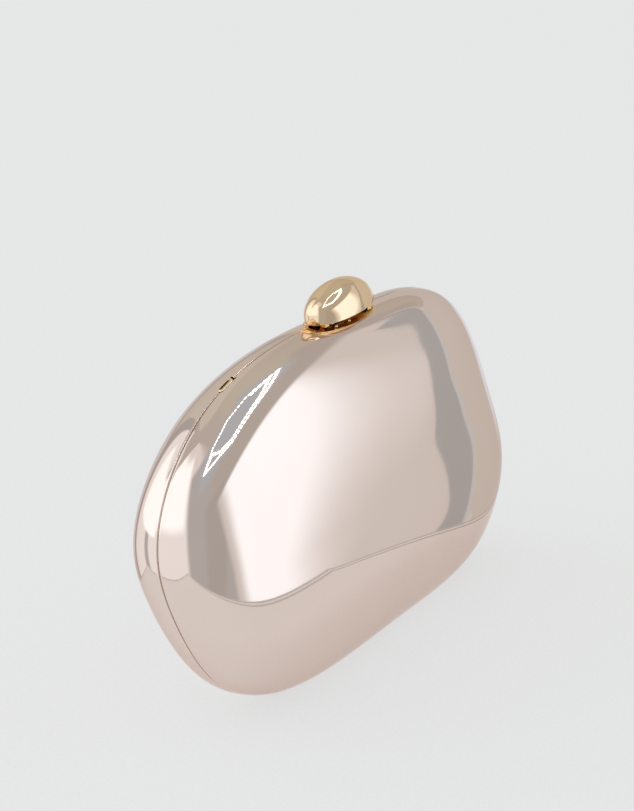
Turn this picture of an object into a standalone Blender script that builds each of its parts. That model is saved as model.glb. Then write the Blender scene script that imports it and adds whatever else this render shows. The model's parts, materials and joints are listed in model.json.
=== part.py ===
"""Hard-shell pebble clutch: two polished shells hinged along the base and held by an egg-knob clasp.

The case is 200 mm wide, stands on a narrow flat base and opens at a seam in the plane y = 0.
X runs along the width, -Y is the front and +Z is up. The origin is the middle of the base.
"""

import math

import bmesh
import bpy
from mathutils import Matrix, Vector

# Case
case_width = 0.200
case_height = 0.0985
half_depth = 0.0185
seam_gap = 0.0005
base_flat = 0.0015
wall = 0.0010
fullness = 2.31
outline_shares = (
    (0.32, -0.99), (0.86, -1.04), (1.06, -0.45), (0.885, 0.17), (0.72, 0.88), (0.315, 0.92),
    (-0.305, 1.03), (-0.795, 0.88), (-1.045, 0.33), (-0.935, -0.17), (-0.70, -0.79), (-0.31, -1.02),
)
steps_per_span = 5
face_rings = 6

# Clearances
fit_gap = 0.0003
pin_gap = 0.0001
overrun = 0.0010

# Frames and linings
frame_depth = 0.0070
frame_thickness = 0.0024
lining_thickness = 0.0008

# Base hinges
hinge_spacing = 0.060
hinge_middle = 0.022
hinge_length = 0.022
barrel_radius = 0.0017
hinge_pin_radius = 0.0007
leaf_thickness = 0.0008
leaf_reach = 0.0056
leaf_seat_depth = 0.0002
knuckle_count = 3
opening_angle = 80.0
groove_clearance_angle = 1.0
leaf_rivet_spacing = 0.012
leaf_rivet_setback = 0.0039
leaf_rivet_head_radius = 0.0011
leaf_rivet_head_height = 0.0006
leaf_rivet_radius = 0.0005
leaf_rivet_depth = 0.0012

# Chain bars
left_chain_bar_place = -0.0600
right_chain_bar_place = 0.0800
chain_bar_length = 0.0064
chain_bar_radius = 0.0005
chain_bar_sink = 0.0004
chain_slot_side = 0.0006
chain_bar_leg = 0.0016

# Clasp
clasp_place = 0.0070
plate_thickness = 0.0008
plate_middle = -0.0045
plate_half_length = 0.0205
plate_front = 0.0073
plate_back = 0.0044
catch_half_length = 0.0125
plate_squareness = 0.5
axle_forward = 0.0039
axle_height = 0.0009
axle_radius = 0.00045
ear_radius = 0.0010
ear_length = 0.0026
ear_left_setback = 0.0008
ear_right_setback = 0.0046
spring_left = -0.0120
spring_length = 0.0064
spring_wire = 0.00035
lever_middle = -0.0038
lever_half_length = 0.0120
lever_half_width = 0.0051
lever_thickness = 0.0010
nose_length = 0.0120
nose_thickness = 0.0006
nose_drop = 0.00095
lip_thickness = 0.0006
lip_length = 0.0160
catch_gap = 0.0004
knob_half_length = 0.0175
knob_half_width = 0.0066
knob_rise = 0.0082
knob_setforward = 0.0017
knob_lift = 0.0022
knob_belly = 0.0004
knob_screw_spacing = 0.0124
knob_screw_setback = 0.0015
knob_screw_radius = 0.0006
knob_screw_head_radius = 0.0013
knob_screw_head_height = 0.0005
knob_screw_length = 0.0034
clasp_rivet_places = (-0.0132, -0.0052)
clasp_rivet_forward = 0.0063
catch_rivet_places = (-0.0129, 0.0053)
catch_rivet_back = 0.0024
clasp_rivet_head_radius = 0.00075
clasp_rivet_head_height = 0.0005
clasp_rivet_radius = 0.0004

# Facets
round_sides = 24
small_sides = 12
flat_face_tolerance = 0.001

# Fits that follow from the sizes above
ear_left = plate_middle - plate_half_length + ear_left_setback
ear_right = plate_middle + plate_half_length - ear_right_setback - ear_length
form_height = case_height + base_flat
form_middle = case_height - form_height / 2
frame_outer_inset = wall + fit_gap
frame_inner_inset = frame_outer_inset + frame_thickness
lining_inner_inset = frame_outer_inset + lining_thickness
leaf_bottom = frame_inner_inset - leaf_seat_depth + fit_gap
leaf_top = leaf_bottom + leaf_thickness
hinge_height = leaf_top + fit_gap / 2 - barrel_radius
groove_angle = opening_angle / 2 + groove_clearance_angle
chain_bar_depth = (frame_outer_inset + frame_inner_inset) / 2 + chain_bar_sink
chain_slot_half_width = chain_bar_radius + chain_slot_side
lever_bottom = knob_lift
lever_top = lever_bottom + lever_thickness


def clear_scene():
    """Remove every object that the scene holds."""
    for item in list(bpy.data.objects):
        bpy.data.objects.remove(item)


def metal(name, colour, roughness, metallic=1.0):
    """Make a material with one Principled shader."""
    material = bpy.data.materials.new(name)
    material.use_nodes = True
    shader = material.node_tree.nodes["Principled BSDF"]
    shader.inputs["Base Color"].default_value = (*colour, 1.0)
    shader.inputs["Roughness"].default_value = roughness
    shader.inputs["Metallic"].default_value = metallic
    material.diffuse_color = (*colour, 1.0)
    return material


# Shapes

def make_object(name, bm, material, sharp_angle=30.0):
    """Turn a closed bmesh into an object shaded smooth with sharp edges."""
    twist = math.radians(flat_face_tolerance)
    bmesh.ops.connect_verts_nonplanar(bm, angle_limit=twist, faces=bm.faces)
    bmesh.ops.recalc_face_normals(bm, faces=bm.faces)
    mesh = bpy.data.meshes.new(name)
    bm.to_mesh(mesh)
    bm.free()
    mesh.materials.append(material)
    mesh.shade_smooth()
    mesh.set_sharp_from_angle(angle=math.radians(sharp_angle))
    item = bpy.data.objects.new(name, mesh)
    bpy.context.collection.objects.link(item)
    return item


def combine(target, tool, operation):
    """Join the tool to the target, or cut it out of the target, and remove the tool."""
    modifier = target.modifiers.new(operation.lower(), "BOOLEAN")
    modifier.operation = operation
    modifier.solver = "EXACT"
    modifier.object = tool
    graph = bpy.context.evaluated_depsgraph_get()
    shape = bpy.data.meshes.new_from_object(target.evaluated_get(graph), depsgraph=graph)
    target.modifiers.clear()
    target.data = shape
    bpy.data.objects.remove(tool)


def cut(target, tool):
    """Cut the tool out of the target."""
    combine(target, tool, "DIFFERENCE")


def weld(target, tool):
    """Join the tool to the target as one solid."""
    combine(target, tool, "UNION")


def place(item, frame):
    """Move an object's mesh from a local frame into the case's own frame."""
    item.data.transform(frame)
    return item


def loft(rings, cyclic=False):
    """Join closed rings of points in order; a ring of one point makes a pole.

    A cyclic loft runs from the last ring back to the first, and any other is capped at both ends.
    """
    bm = bmesh.new()
    loops = [[bm.verts.new(point) for point in ring] for ring in rings]
    for lower, upper in zip(loops, loops[1:]):
        join_loops(bm, lower, upper)
    if cyclic:
        join_loops(bm, loops[-1], loops[0])
    else:
        for loop in (loops[0], loops[-1]):
            if len(loop) > 1:
                bm.faces.new(loop)
    return bm


def join_loops(bm, lower, upper):
    """Fill the band between two loops, either of which may be a single point."""
    count = max(len(lower), len(upper))
    for index in range(count):
        after = (index + 1) % count
        corners = [lower[index % len(lower)], lower[after % len(lower)],
                   upper[after % len(upper)], upper[index % len(upper)]]
        unique = list(dict.fromkeys(corners))
        bm.faces.new(unique)


def circle(radius, sides):
    """Corner points of a round section about the origin, with a flat side towards +X."""
    turns = (2 * math.pi * (index + 1 / 2) / sides for index in range(sides))
    return [(radius * math.cos(turn), radius * math.sin(turn)) for turn in turns]


def rod(name, radius, start, end, material, sides=round_sides):
    """A round bar between two points."""
    start, end = Vector(start), Vector(end)
    turn = Vector((0, 0, 1)).rotation_difference(end - start)
    rings = [[centre + turn @ Vector((u, v, 0)) for u, v in circle(radius, sides)]
             for centre in (start, end)]
    return make_object(name, loft(rings), material)


def sleeve(name, radius, bore, start, end, material, sides=round_sides):
    """A round tube between two points."""
    start, end = Vector(start), Vector(end)
    turn = Vector((0, 0, 1)).rotation_difference(end - start)
    corners = ((radius, start), (radius, end), (bore, end), (bore, start))
    rings = [[centre + turn @ Vector((u, v, 0)) for u, v in circle(size, sides)]
             for size, centre in corners]
    return make_object(name, loft(rings, cyclic=True), material)


def turned(name, profile, frame, material, sides=small_sides):
    """A piece turned about its local Z axis from (radius, height) points, poles at zero radius."""
    rings = []
    for radius, height in profile:
        corners = circle(radius, sides) if radius > 0 else [(0, 0)]
        rings.append([frame @ Vector((u, v, height)) for u, v in corners])
    return make_object(name, loft(rings), material)


def block(name, low, high, material, frame=Matrix()):
    """A rectangular block between two corners."""
    floor = [(low[0], low[1]), (high[0], low[1]), (high[0], high[1]), (low[0], high[1])]
    rings = [[frame @ Vector((x, y, z)) for x, y in floor] for z in (low[2], high[2])]
    return make_object(name, loft(rings), material)


def oval_prism(name, middle, half_length, half_width, bottom, top, material, sides=2 * round_sides):
    """An upright prism on an oval plan."""
    rings = [[Vector((middle[0] + half_length * u, middle[1] + half_width * v, height))
              for u, v in circle(1, sides)] for height in (bottom, top)]
    return make_object(name, loft(rings), material)


# Form of the case

def smooth_outline(points, steps):
    """Closed cubic curve drawn near its guide points, with even curvature."""
    curve = []
    for index in range(len(points)):
        guides = [points[(index + offset) % len(points)] for offset in (-1, 0, 1, 2)]
        for step in range(steps):
            t = step / steps
            weights = ((1 - t) ** 3, 3 * t ** 3 - 6 * t ** 2 + 4, -3 * t ** 3 + 3 * t ** 2 + 3 * t + 1, t ** 3)
            curve.append(tuple(sum(w * g[axis] for w, g in zip(weights, guides)) / 6 for axis in (0, 1)))
    return curve


def unit_outline(steps):
    """The case's outline in its own plane, stretched to reach exactly 1 each way."""
    curve = smooth_outline(outline_shares, steps)
    limits = [(min(p[axis] for p in curve), max(p[axis] for p in curve)) for axis in (0, 1)]
    return [tuple((p[axis] - (low + high) / 2) / ((high - low) / 2)
                  for axis, (low, high) in enumerate(limits)) for p in curve]


def reach_at(rise):
    """How far a ring still reaches towards the outline when it stands the share rise of the depth out."""
    return max(0.0, 1 - min(1.0, rise) ** fullness) ** (1 / fullness)


def spread(reach, half_width, half_height):
    """Width share of a ring: near the rim it draws in by the same length sideways and upright."""
    drawn = 1 - reach
    slimness = half_height / half_width
    return 1 - slimness * drawn - (1 - slimness) * drawn ** 3


def form_ring(inset, rise, side):
    """One ring of the pebble form lying inset below the outer face; side is -1 in front and 1 behind."""
    half_width = case_width / 2 - inset
    half_height = form_height / 2 - inset
    reach = reach_at(rise)
    wide = half_width * spread(reach, half_width, half_height)
    y = side * (seam_gap / 2 + (half_depth - inset) * rise)
    if reach == 0:
        return [Vector((0, y, form_middle))]
    return [Vector((wide * x, y, max(form_middle + half_height * reach * z, inset)))
            for x, z in unit_outline(steps_per_span)]


def frame_rises():
    """Depth shares of the rings that a rim frame spans."""
    end = frame_depth / half_depth
    return [0, end / 2, end]


def face_rises():
    """Depth shares of the rings from just past the frame to the middle of the face."""
    start = (frame_depth + 2 * fit_gap) / half_depth
    first = math.asin(start ** (fullness / 2))
    turns = [first + (math.pi / 2 - first) * index / face_rings for index in range(face_rings)]
    return [math.sin(turn) ** (2 / fullness) for turn in turns] + [1]


def rim_point(x):
    """Point of the upper outline at x, with the outline's slope there."""
    fine = 8 * steps_per_span
    curve = [(case_width / 2 * px, form_middle + form_height / 2 * pz) for px, pz in unit_outline(fine)]
    for (x0, z0), (x1, z1) in zip(curve, curve[1:] + curve[:1]):
        if z0 > form_middle and min(x0, x1) <= x <= max(x0, x1):
            share = (x - x0) / (x1 - x0)
            return Vector((x, 0, z0 + (z1 - z0) * share)), math.atan2(z0 - z1, x0 - x1)
    raise ValueError("x lies outside the outline")


def top_height(x, y):
    """Height of the case's outer face over a point of the plan."""
    rise = max(0, abs(y) - seam_gap / 2) / half_depth
    reach = reach_at(rise)
    rim, _ = rim_point(x / spread(reach, case_width / 2, form_height / 2))
    return form_middle + (rim.z - form_middle) * reach


def local_frame(x):
    """Frame on the top of the seam at x: local X along the seam, local Z out of the case."""
    origin, slope = rim_point(x)
    return Matrix.Translation(origin) @ Matrix.Rotation(-slope, 4, "Y")


def top_normal(x, y):
    """Direction out of the case's outer face over a point of the plan."""
    step = plate_thickness / 2
    along = (top_height(x + step, y) - top_height(x - step, y)) / (2 * step)
    across = (top_height(x, y + step) - top_height(x, y - step)) / (2 * step)
    return Vector((-along, -across, 1)).normalized()


def on_case(x, y, lift):
    """Point that stands lift above the outer face over a point of the plan."""
    return Vector((x, y, top_height(x, y))) + top_normal(x, y) * lift


def normal_frame(x, y, lift):
    """Frame whose origin stands lift above the outer face and whose Z points straight out of it."""
    turn = Vector((0, 0, 1)).rotation_difference(top_normal(x, y))
    return Matrix.Translation(on_case(x, y, lift)) @ turn.to_matrix().to_4x4()


# Shells, frames and linings

def make_shell(name, side, material):
    """One half of the case: a polished skin, open at the seam."""
    rises = frame_rises() + face_rises()
    outer = [form_ring(0, rise, side) for rise in reversed(rises)]
    inner = [form_ring(wall, rise, side) for rise in rises]
    return make_object(name, loft(outer + inner), material)


def make_frame(name, side, material):
    """The metal rim inside one half, which carries the hinge leaves and the chain bars."""
    rises = frame_rises()
    outer = [form_ring(frame_outer_inset, rise, side) for rise in rises]
    inner = [form_ring(frame_inner_inset, rise, side) for rise in reversed(rises)]
    return make_object(name, loft(outer + inner, cyclic=True), material)


def make_lining(name, side, material):
    """The cloth-covered liner of one half, past the frame."""
    rises = face_rises()
    outer = [form_ring(frame_outer_inset, rise, side) for rise in reversed(rises)]
    inner = [form_ring(lining_inner_inset, rise, side) for rise in rises]
    return make_object(name, loft(outer + inner), material)


def make_hinge_groove(material):
    """Wedge under the hinge line that lets the halves swing apart until its two faces meet."""
    drop = hinge_height + overrun
    half_width = drop * math.tan(math.radians(groove_angle))
    ends = [-case_width / 2, case_width / 2]
    rings = [[(x, 0, hinge_height), (x, half_width, -overrun), (x, -half_width, -overrun)] for x in ends]
    return make_object("hinge_groove", loft(rings), material)


def hinge_centres():
    """Middles of the left and right hinge along X."""
    return [hinge_middle - hinge_spacing / 2, hinge_middle + hinge_spacing / 2]


def make_hinge_recess(centre, material):
    """Round recess that leaves room for one hinge barrel."""
    half = hinge_length / 2 + fit_gap
    return rod("hinge_recess", barrel_radius + fit_gap, (centre - half, 0, hinge_height),
               (centre + half, 0, hinge_height), material)


def make_leaf_seat(centre, side, material):
    """Level seat that a hinge leaf is let down into."""
    half = hinge_length / 2 + 2 * fit_gap
    low = (centre - half, min(-side * overrun, side * (leaf_reach + fit_gap)), leaf_bottom - fit_gap)
    high = (centre + half, max(-side * overrun, side * (leaf_reach + fit_gap)), leaf_top + frame_depth)
    return block("leaf_seat", low, high, material)


def make_chain_slot(x, material):
    """Slot across the top seam that a chain's end link drops into."""
    half = chain_bar_length / 2 + 2 * chain_bar_radius + fit_gap
    low = (-half, -chain_slot_half_width, -frame_inner_inset - frame_thickness)
    high = (half, chain_slot_half_width, frame_thickness)
    return block("chain_slot", low, high, material, local_frame(x))


def make_case(materials):
    """Both halves with their frames and linings, cut for hinges, chain bars and clasp rivets."""
    case = {}
    for half, side in (("front", -1), ("back", 1)):
        shell = make_shell(f"{half}_shell", side, materials["shell"])
        frame = make_frame(f"{half}_frame", side, materials["frame"])
        case[f"{half}_lining"] = make_lining(f"{half}_lining", side, materials["lining"])
        for piece in (shell, frame):
            cut(piece, make_hinge_groove(materials["frame"]))
            for centre in hinge_centres():
                cut(piece, make_hinge_recess(centre, materials["frame"]))
                if piece is frame:
                    cut(piece, make_leaf_seat(centre, side, materials["frame"]))
            for x in (left_chain_bar_place, right_chain_bar_place):
                cut(piece, make_chain_slot(x, materials["frame"]))
            case[piece.name] = piece
    return case


# Base hinges

def knuckle_spans(centre):
    """Start and end along X of each knuckle of one hinge, left to right."""
    pitch = hinge_length / knuckle_count
    left = centre - hinge_length / 2
    return [(left + pitch * index + fit_gap / 2, left + pitch * (index + 1) - fit_gap / 2)
            for index in range(knuckle_count)]


def leaf_rivet_spots(centre, side):
    """Places of the rivets that hold one leaf to its frame."""
    y = side * leaf_rivet_setback
    return [(centre - leaf_rivet_spacing / 2, y), (centre + leaf_rivet_spacing / 2, y)]


def make_leaf(name, centre, side, knuckles, material):
    """A hinge leaf: a plate on the frame, with a tooth out to each knuckle round the pin."""
    inner_edge = side * (barrel_radius + fit_gap)
    half = hinge_length / 2
    plan = [(centre + half, inner_edge), (centre + half, side * leaf_reach),
            (centre - half, side * leaf_reach), (centre - half, inner_edge)]
    for start, end in knuckles:
        teeth = [(start, inner_edge), (start, 0), (end, 0), (end, inner_edge)]
        plan += [point for point in teeth if point not in plan]
    rings = [[Vector((x, y, height)) for x, y in plan] for height in (leaf_bottom, leaf_top)]
    leaf = make_object(name, loft(rings), material)
    for start, end in knuckles:
        weld(leaf, rod("knuckle", barrel_radius, (start, 0, hinge_height), (end, 0, hinge_height), material))
    bore = hinge_pin_radius + pin_gap
    cut(leaf, rod("bore", bore, (centre - hinge_length, 0, hinge_height),
                  (centre + hinge_length, 0, hinge_height), material, small_sides))
    for x, y in leaf_rivet_spots(centre, side):
        cut(leaf, rod("hole", leaf_rivet_radius + fit_gap, (x, y, leaf_bottom - overrun),
                      (x, y, leaf_top + overrun), material, small_sides))
    return leaf


def dome_rivet(name, frame, head_radius, head_height, radius, depth, material):
    """A rivet with a low domed head; local Z points out of the head and the shank runs down."""
    shoulder_share, crown_share = 0.80, 0.72
    profile = [(0, head_height), (head_radius * shoulder_share, head_height * crown_share),
               (head_radius, 0), (radius, 0), (radius, -depth), (0, -depth)]
    return turned(name, profile, frame, material)


def make_hinges(case, materials):
    """Two base hinges: a leaf on each half, a pin, and two rivets to a leaf."""
    pieces = {"front": [], "back": []}
    for label, centre in zip(("left", "right"), hinge_centres()):
        spans = knuckle_spans(centre)
        for half, side, knuckles in (("back", 1, spans[0::2]), ("front", -1, spans[1::2])):
            leaf_name = f"{label}_hinge_{half}_leaf"
            pieces[half].append(make_leaf(leaf_name, centre, side, knuckles, materials["hinge"]))
            for index, (x, y) in enumerate(leaf_rivet_spots(centre, side), start=1):
                depth = leaf_top + fit_gap - frame_inner_inset + leaf_rivet_depth
                seat = Matrix.Translation((x, y, leaf_top + fit_gap))
                rivet = dome_rivet(f"{leaf_name}_rivet_{index}", seat, leaf_rivet_head_radius,
                                   leaf_rivet_head_height, leaf_rivet_radius, depth, materials["hinge"])
                bottom = leaf_top + fit_gap - depth - fit_gap
                cut(case[f"{half}_frame"], rod("hole", leaf_rivet_radius + fit_gap, (x, y, bottom),
                                               (x, y, leaf_top), materials["hinge"], small_sides))
                pieces[half].append(rivet)
        ends = (centre - hinge_length / 2, centre + hinge_length / 2)
        pieces["back"].append(rod(f"{label}_hinge_pin", hinge_pin_radius, (ends[0], 0, hinge_height),
                                  (ends[1], 0, hinge_height), materials["hinge"], small_sides))
    return pieces


# Chain bars

def make_chain_bar(name, x, case, material):
    """A staple across the seam slot; both legs end in the back frame."""
    frame = local_frame(x)
    half = chain_bar_length / 2
    leg_end = chain_slot_half_width + chain_bar_leg - chain_bar_radius
    route = [(-half, leg_end), (-half, chain_bar_radius), (-half + chain_bar_radius, 0),
             (half - chain_bar_radius, 0), (half, chain_bar_radius), (half, leg_end)]
    points = [Vector((u, v, -chain_bar_depth)) for u, v in route]
    bar = place(tube(name, points, chain_bar_radius, small_sides, material), frame)
    for u in (-half, half):
        start = Vector((u, 0, -chain_bar_depth))
        end = Vector((u, leg_end + fit_gap, -chain_bar_depth))
        hole = rod("hole", chain_bar_radius + pin_gap, start, end, material, small_sides)
        cut(case["back_frame"], place(hole, frame))
    return bar


def tube(name, points, radius, sides, material):
    """A round bar through points that lie in one level plane, mitred at its bends."""
    rings = []
    for index, point in enumerate(points):
        before = (point - points[index - 1]).normalized() if index > 0 else None
        after = (points[index + 1] - point).normalized() if index < len(points) - 1 else None
        heading = ((before or after) + (after or before)).normalized()
        stretch = 1 / heading.dot(before or after)
        across = heading.cross(Vector((0, 0, 1)))
        rings.append([point + across * (u * stretch) + Vector((0, 0, v)) for u, v in circle(radius, sides)])
    return make_object(name, loft(rings), material)


# Clasp

def plan_of_plate(side):
    """Rows of plan points of one clasp plate, from the seam edge to its outer edge."""
    seam_edge = side * (seam_gap / 2 + fit_gap)
    outer = plate_front if side < 0 else plate_back
    half_length = plate_half_length if side < 0 else catch_half_length
    columns, rows = 24, 4
    grid = []
    for row in range(rows + 1):
        line = []
        for column in range(columns + 1):
            turn = math.pi * (1 - column / columns)
            reach = seam_gap / 2 + fit_gap + plate_thickness
            edge = side * (reach + (outer - reach) * max(0, math.sin(turn)) ** plate_squareness)
            x = clasp_place + plate_middle + half_length * math.cos(turn)
            line.append((x, seam_edge + (edge - seam_edge) * row / rows))
        grid.append(line)
    return grid


def make_plate(name, side, material):
    """A thin plate that hugs the shoulder of one shell beside the seam."""
    grid = plan_of_plate(side)
    bm = bmesh.new()
    sheets = []
    for lift in (fit_gap, fit_gap + plate_thickness):
        sheets.append([[bm.verts.new(on_case(x, y, lift)) for x, y in line] for line in grid])
    rows, columns = len(grid) - 1, len(grid[0]) - 1
    for sheet in sheets:
        for row in range(rows):
            for column in range(columns):
                bm.faces.new((sheet[row][column], sheet[row][column + 1],
                              sheet[row + 1][column + 1], sheet[row + 1][column]))
    border = [(0, column) for column in range(columns)] + [(row, columns) for row in range(rows)]
    border += [(rows, column) for column in range(columns, 0, -1)] + [(row, 0) for row in range(rows, 0, -1)]
    for (row, column), (next_row, next_column) in zip(border, border[1:] + border[:1]):
        bm.faces.new((sheets[0][row][column], sheets[0][next_row][next_column],
                      sheets[1][next_row][next_column], sheets[1][row][column]))
    return make_object(name, bm, material)


def axle_point(x):
    """Point of the clasp's axle line in the clasp's local frame."""
    return (x, -axle_forward, axle_height)


def make_ear(start, frame, material):
    """An ear for the axle: a round top over straight sides that stand in the middle of the plate."""
    middle = start + ear_length / 2
    seat = frame.inverted() @ on_case(clasp_place + middle, -axle_forward, fit_gap + plate_thickness / 2)
    turns = [math.pi * index / small_sides for index in range(small_sides + 1)]
    section = [(ear_radius * math.cos(turn) - axle_forward, axle_height + ear_radius * math.sin(turn))
               for turn in turns]
    section += [(-axle_forward - ear_radius, seat.z), (-axle_forward + ear_radius, seat.z)]
    rings = [[(x, y, height) for y, height in section] for x in (start, start + ear_length)]
    return make_object("ear", loft(rings), material)


def clasp_rivet(name, x, y, shell, plate, material):
    """A small rivet through a clasp plate into the shell under it."""
    seat = normal_frame(clasp_place + x, y, plate_thickness + 2 * fit_gap)
    depth = plate_thickness + 2 * fit_gap + wall
    for piece in (plate, shell):
        hole = rod("hole", clasp_rivet_radius + fit_gap, (0, 0, -depth - overrun / 2), (0, 0, overrun),
                   material, small_sides)
        cut(piece, place(hole, seat))
    return dome_rivet(name, seat, clasp_rivet_head_radius, clasp_rivet_head_height,
                      clasp_rivet_radius, depth, material)


def make_base_plate(case, frame, materials):
    """Front clasp plate with two ears for the axle, and a window for the lever's barrels."""
    plate = make_plate("clasp_base_plate", -1, materials["clasp"])
    window_front = -axle_forward - ear_radius - fit_gap
    window = block("window", (ear_left + ear_length - fit_gap, window_front, -plate_front),
                   (ear_right + fit_gap, overrun, plate_front), materials["clasp"], frame)
    cut(plate, window)
    for start in (ear_left, ear_right):
        weld(plate, place(make_ear(start, frame, materials["clasp"]), frame))
    bore = rod("bore", axle_radius + pin_gap, axle_point(ear_left - overrun),
               axle_point(ear_right + ear_length + overrun), materials["clasp"], small_sides)
    cut(plate, place(bore, frame))
    rivets = [clasp_rivet(f"clasp_base_rivet_{index}", x, -clasp_rivet_forward, case["front_shell"],
                          plate, materials["clasp"])
              for index, x in enumerate(clasp_rivet_places, start=1)]
    axle = rod("clasp_axle", axle_radius, axle_point(ear_left), axle_point(ear_right + ear_length),
               materials["clasp"], small_sides)
    spring = sleeve("clasp_spring", axle_radius + fit_gap + spring_wire, axle_radius + fit_gap,
                    axle_point(spring_left), axle_point(spring_left + spring_length),
                    materials["spring"], small_sides)
    return [plate, place(axle, frame), place(spring, frame)] + rivets


def lip_back():
    """Local y of the side of the catch lip that the nose hooks behind."""
    return lever_rear() - nose_thickness - catch_gap


def lever_rear():
    """Local y of the lever's back face, where its nose hangs."""
    return -knob_setforward + lever_half_width - catch_gap


def make_catch_plate(case, frame, materials):
    """Back clasp plate with the upright lip that the lever's nose hooks behind."""
    plate = make_plate("clasp_catch_plate", 1, materials["clasp"])
    foot = rim_drop(lip_back())
    low = (lever_middle - lip_length / 2, lip_back() - lip_thickness, foot + fit_gap + plate_thickness / 2)
    high = (lever_middle + lip_length / 2, lip_back(), lever_bottom - fit_gap)
    weld(plate, block("lip", low, high, materials["clasp"], frame))
    rivets = [clasp_rivet(f"clasp_catch_rivet_{index}", x, catch_rivet_back, case["back_shell"],
                          plate, materials["clasp"])
              for index, x in enumerate(catch_rivet_places, start=1)]
    return [plate] + rivets


def rim_drop(y):
    """How far the case's face has dropped below the seam at the clasp, at y from the seam."""
    return top_height(clasp_place, y) - top_height(clasp_place, 0)


def knob_screw_spots():
    """Local places of the two screws that hold the knob on the lever."""
    y = -knob_setforward + knob_screw_setback
    return [(lever_middle - knob_screw_spacing / 2, y), (lever_middle + knob_screw_spacing / 2, y)]


def make_lever(frame, materials):
    """Rocking lever: oval plate with two barrels on the axle and a nose at the back."""
    lever = oval_prism("clasp_lever", (lever_middle, -knob_setforward), lever_half_length,
                       lever_half_width, lever_bottom, lever_top, materials["clasp"])
    nose = block("nose", (lever_middle - nose_length / 2, lever_rear() - nose_thickness, lever_bottom - nose_drop),
                 (lever_middle + nose_length / 2, lever_rear(), lever_bottom + lever_thickness / 2),
                 materials["clasp"])
    weld(lever, nose)
    barrels = ((ear_left + ear_length + fit_gap, spring_left - fit_gap),
               (spring_left + spring_length + fit_gap, ear_right - fit_gap))
    for start, end in barrels:
        web_start = max(start, lever_middle - lever_half_length + lever_thickness * 2)
        web_end = min(end, lever_middle + lever_half_length - lever_thickness * 2)
        web = block("web", (web_start, -axle_forward - ear_radius / 2, axle_height + axle_radius + fit_gap),
                    (web_end, -axle_forward + ear_radius / 2, lever_bottom + lever_thickness / 2),
                    materials["clasp"])
        barrel = rod("barrel", ear_radius, axle_point(start), axle_point(end), materials["clasp"])
        weld(barrel, web)
        weld(lever, barrel)
    bore = rod("bore", axle_radius + pin_gap, axle_point(ear_left - overrun),
               axle_point(ear_right + ear_length + overrun), materials["clasp"], small_sides)
    cut(lever, bore)
    for x, y in knob_screw_spots():
        hole = rod("hole", knob_screw_radius + fit_gap, (x, y, lever_bottom - overrun),
                   (x, y, lever_top + overrun), materials["clasp"], small_sides)
        sink = rod("sink", knob_screw_head_radius + fit_gap, (x, y, lever_bottom - overrun),
                   (x, y, lever_bottom + knob_screw_head_height), materials["clasp"], small_sides)
        cut(lever, hole)
        cut(lever, sink)
    return place(lever, frame)


def make_knob(frame, materials):
    """Egg knob: the upper half of an egg, with a pocket below for the lever's plate."""
    centre_height = knob_lift + knob_belly
    low_turn = -math.asin(knob_belly / knob_rise)
    levels = 9
    rings = []
    for level in range(levels + 1):
        turn = low_turn + (math.pi / 2 - low_turn) * level / levels
        wide, height = math.cos(turn), centre_height + knob_rise * math.sin(turn)
        if level == levels:
            rings.append([Vector((lever_middle, -knob_setforward, height))])
            continue
        rings.append([Vector((lever_middle + knob_half_length * wide * u,
                              -knob_setforward + knob_half_width * wide * v, height))
                      for u, v in circle(1, 2 * round_sides)])
    knob = make_object("clasp_knob", loft(rings), materials["knob"])
    cut(knob, oval_prism("pocket", (lever_middle, -knob_setforward), lever_half_length + fit_gap,
                         lever_half_width + fit_gap, lever_bottom - overrun, lever_top + fit_gap,
                         materials["knob"]))
    for x, y in knob_screw_spots():
        hole = rod("hole", knob_screw_radius + fit_gap, (x, y, lever_bottom),
                   (x, y, lever_bottom + knob_screw_length + 2 * fit_gap), materials["knob"], small_sides)
        cut(knob, hole)
    return place(knob, frame)


def make_knob_screws(frame, materials):
    """Two countersunk screws from under the lever into the knob."""
    screws = []
    for index, (x, y) in enumerate(knob_screw_spots(), start=1):
        top = knob_screw_length + fit_gap
        profile = [(0, top), (knob_screw_radius, top), (knob_screw_radius, knob_screw_head_height - fit_gap),
                   (knob_screw_head_radius, knob_screw_head_height - fit_gap),
                   (knob_screw_head_radius, -fit_gap / 2), (0, -fit_gap / 2)]
        seat = frame @ Matrix.Translation((x, y, lever_bottom))
        screws.append(turned(f"clasp_knob_screw_{index}", profile, seat, materials["clasp"]))
    return screws


# Assembly

def add_joint(name, frame, parent=None):
    """An empty on a joint's axis that carries the pieces which turn about it."""
    joint = bpy.data.objects.new(name, None)
    bpy.context.collection.objects.link(joint)
    joint.matrix_world = frame
    if parent:
        joint.parent = parent
        joint.matrix_parent_inverse = parent.matrix_world.inverted()
    return joint


def carry(joint, pieces):
    """Hang pieces on a joint without moving them."""
    for piece in pieces:
        piece.parent = joint
        piece.matrix_parent_inverse = joint.matrix_world.inverted()


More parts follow.
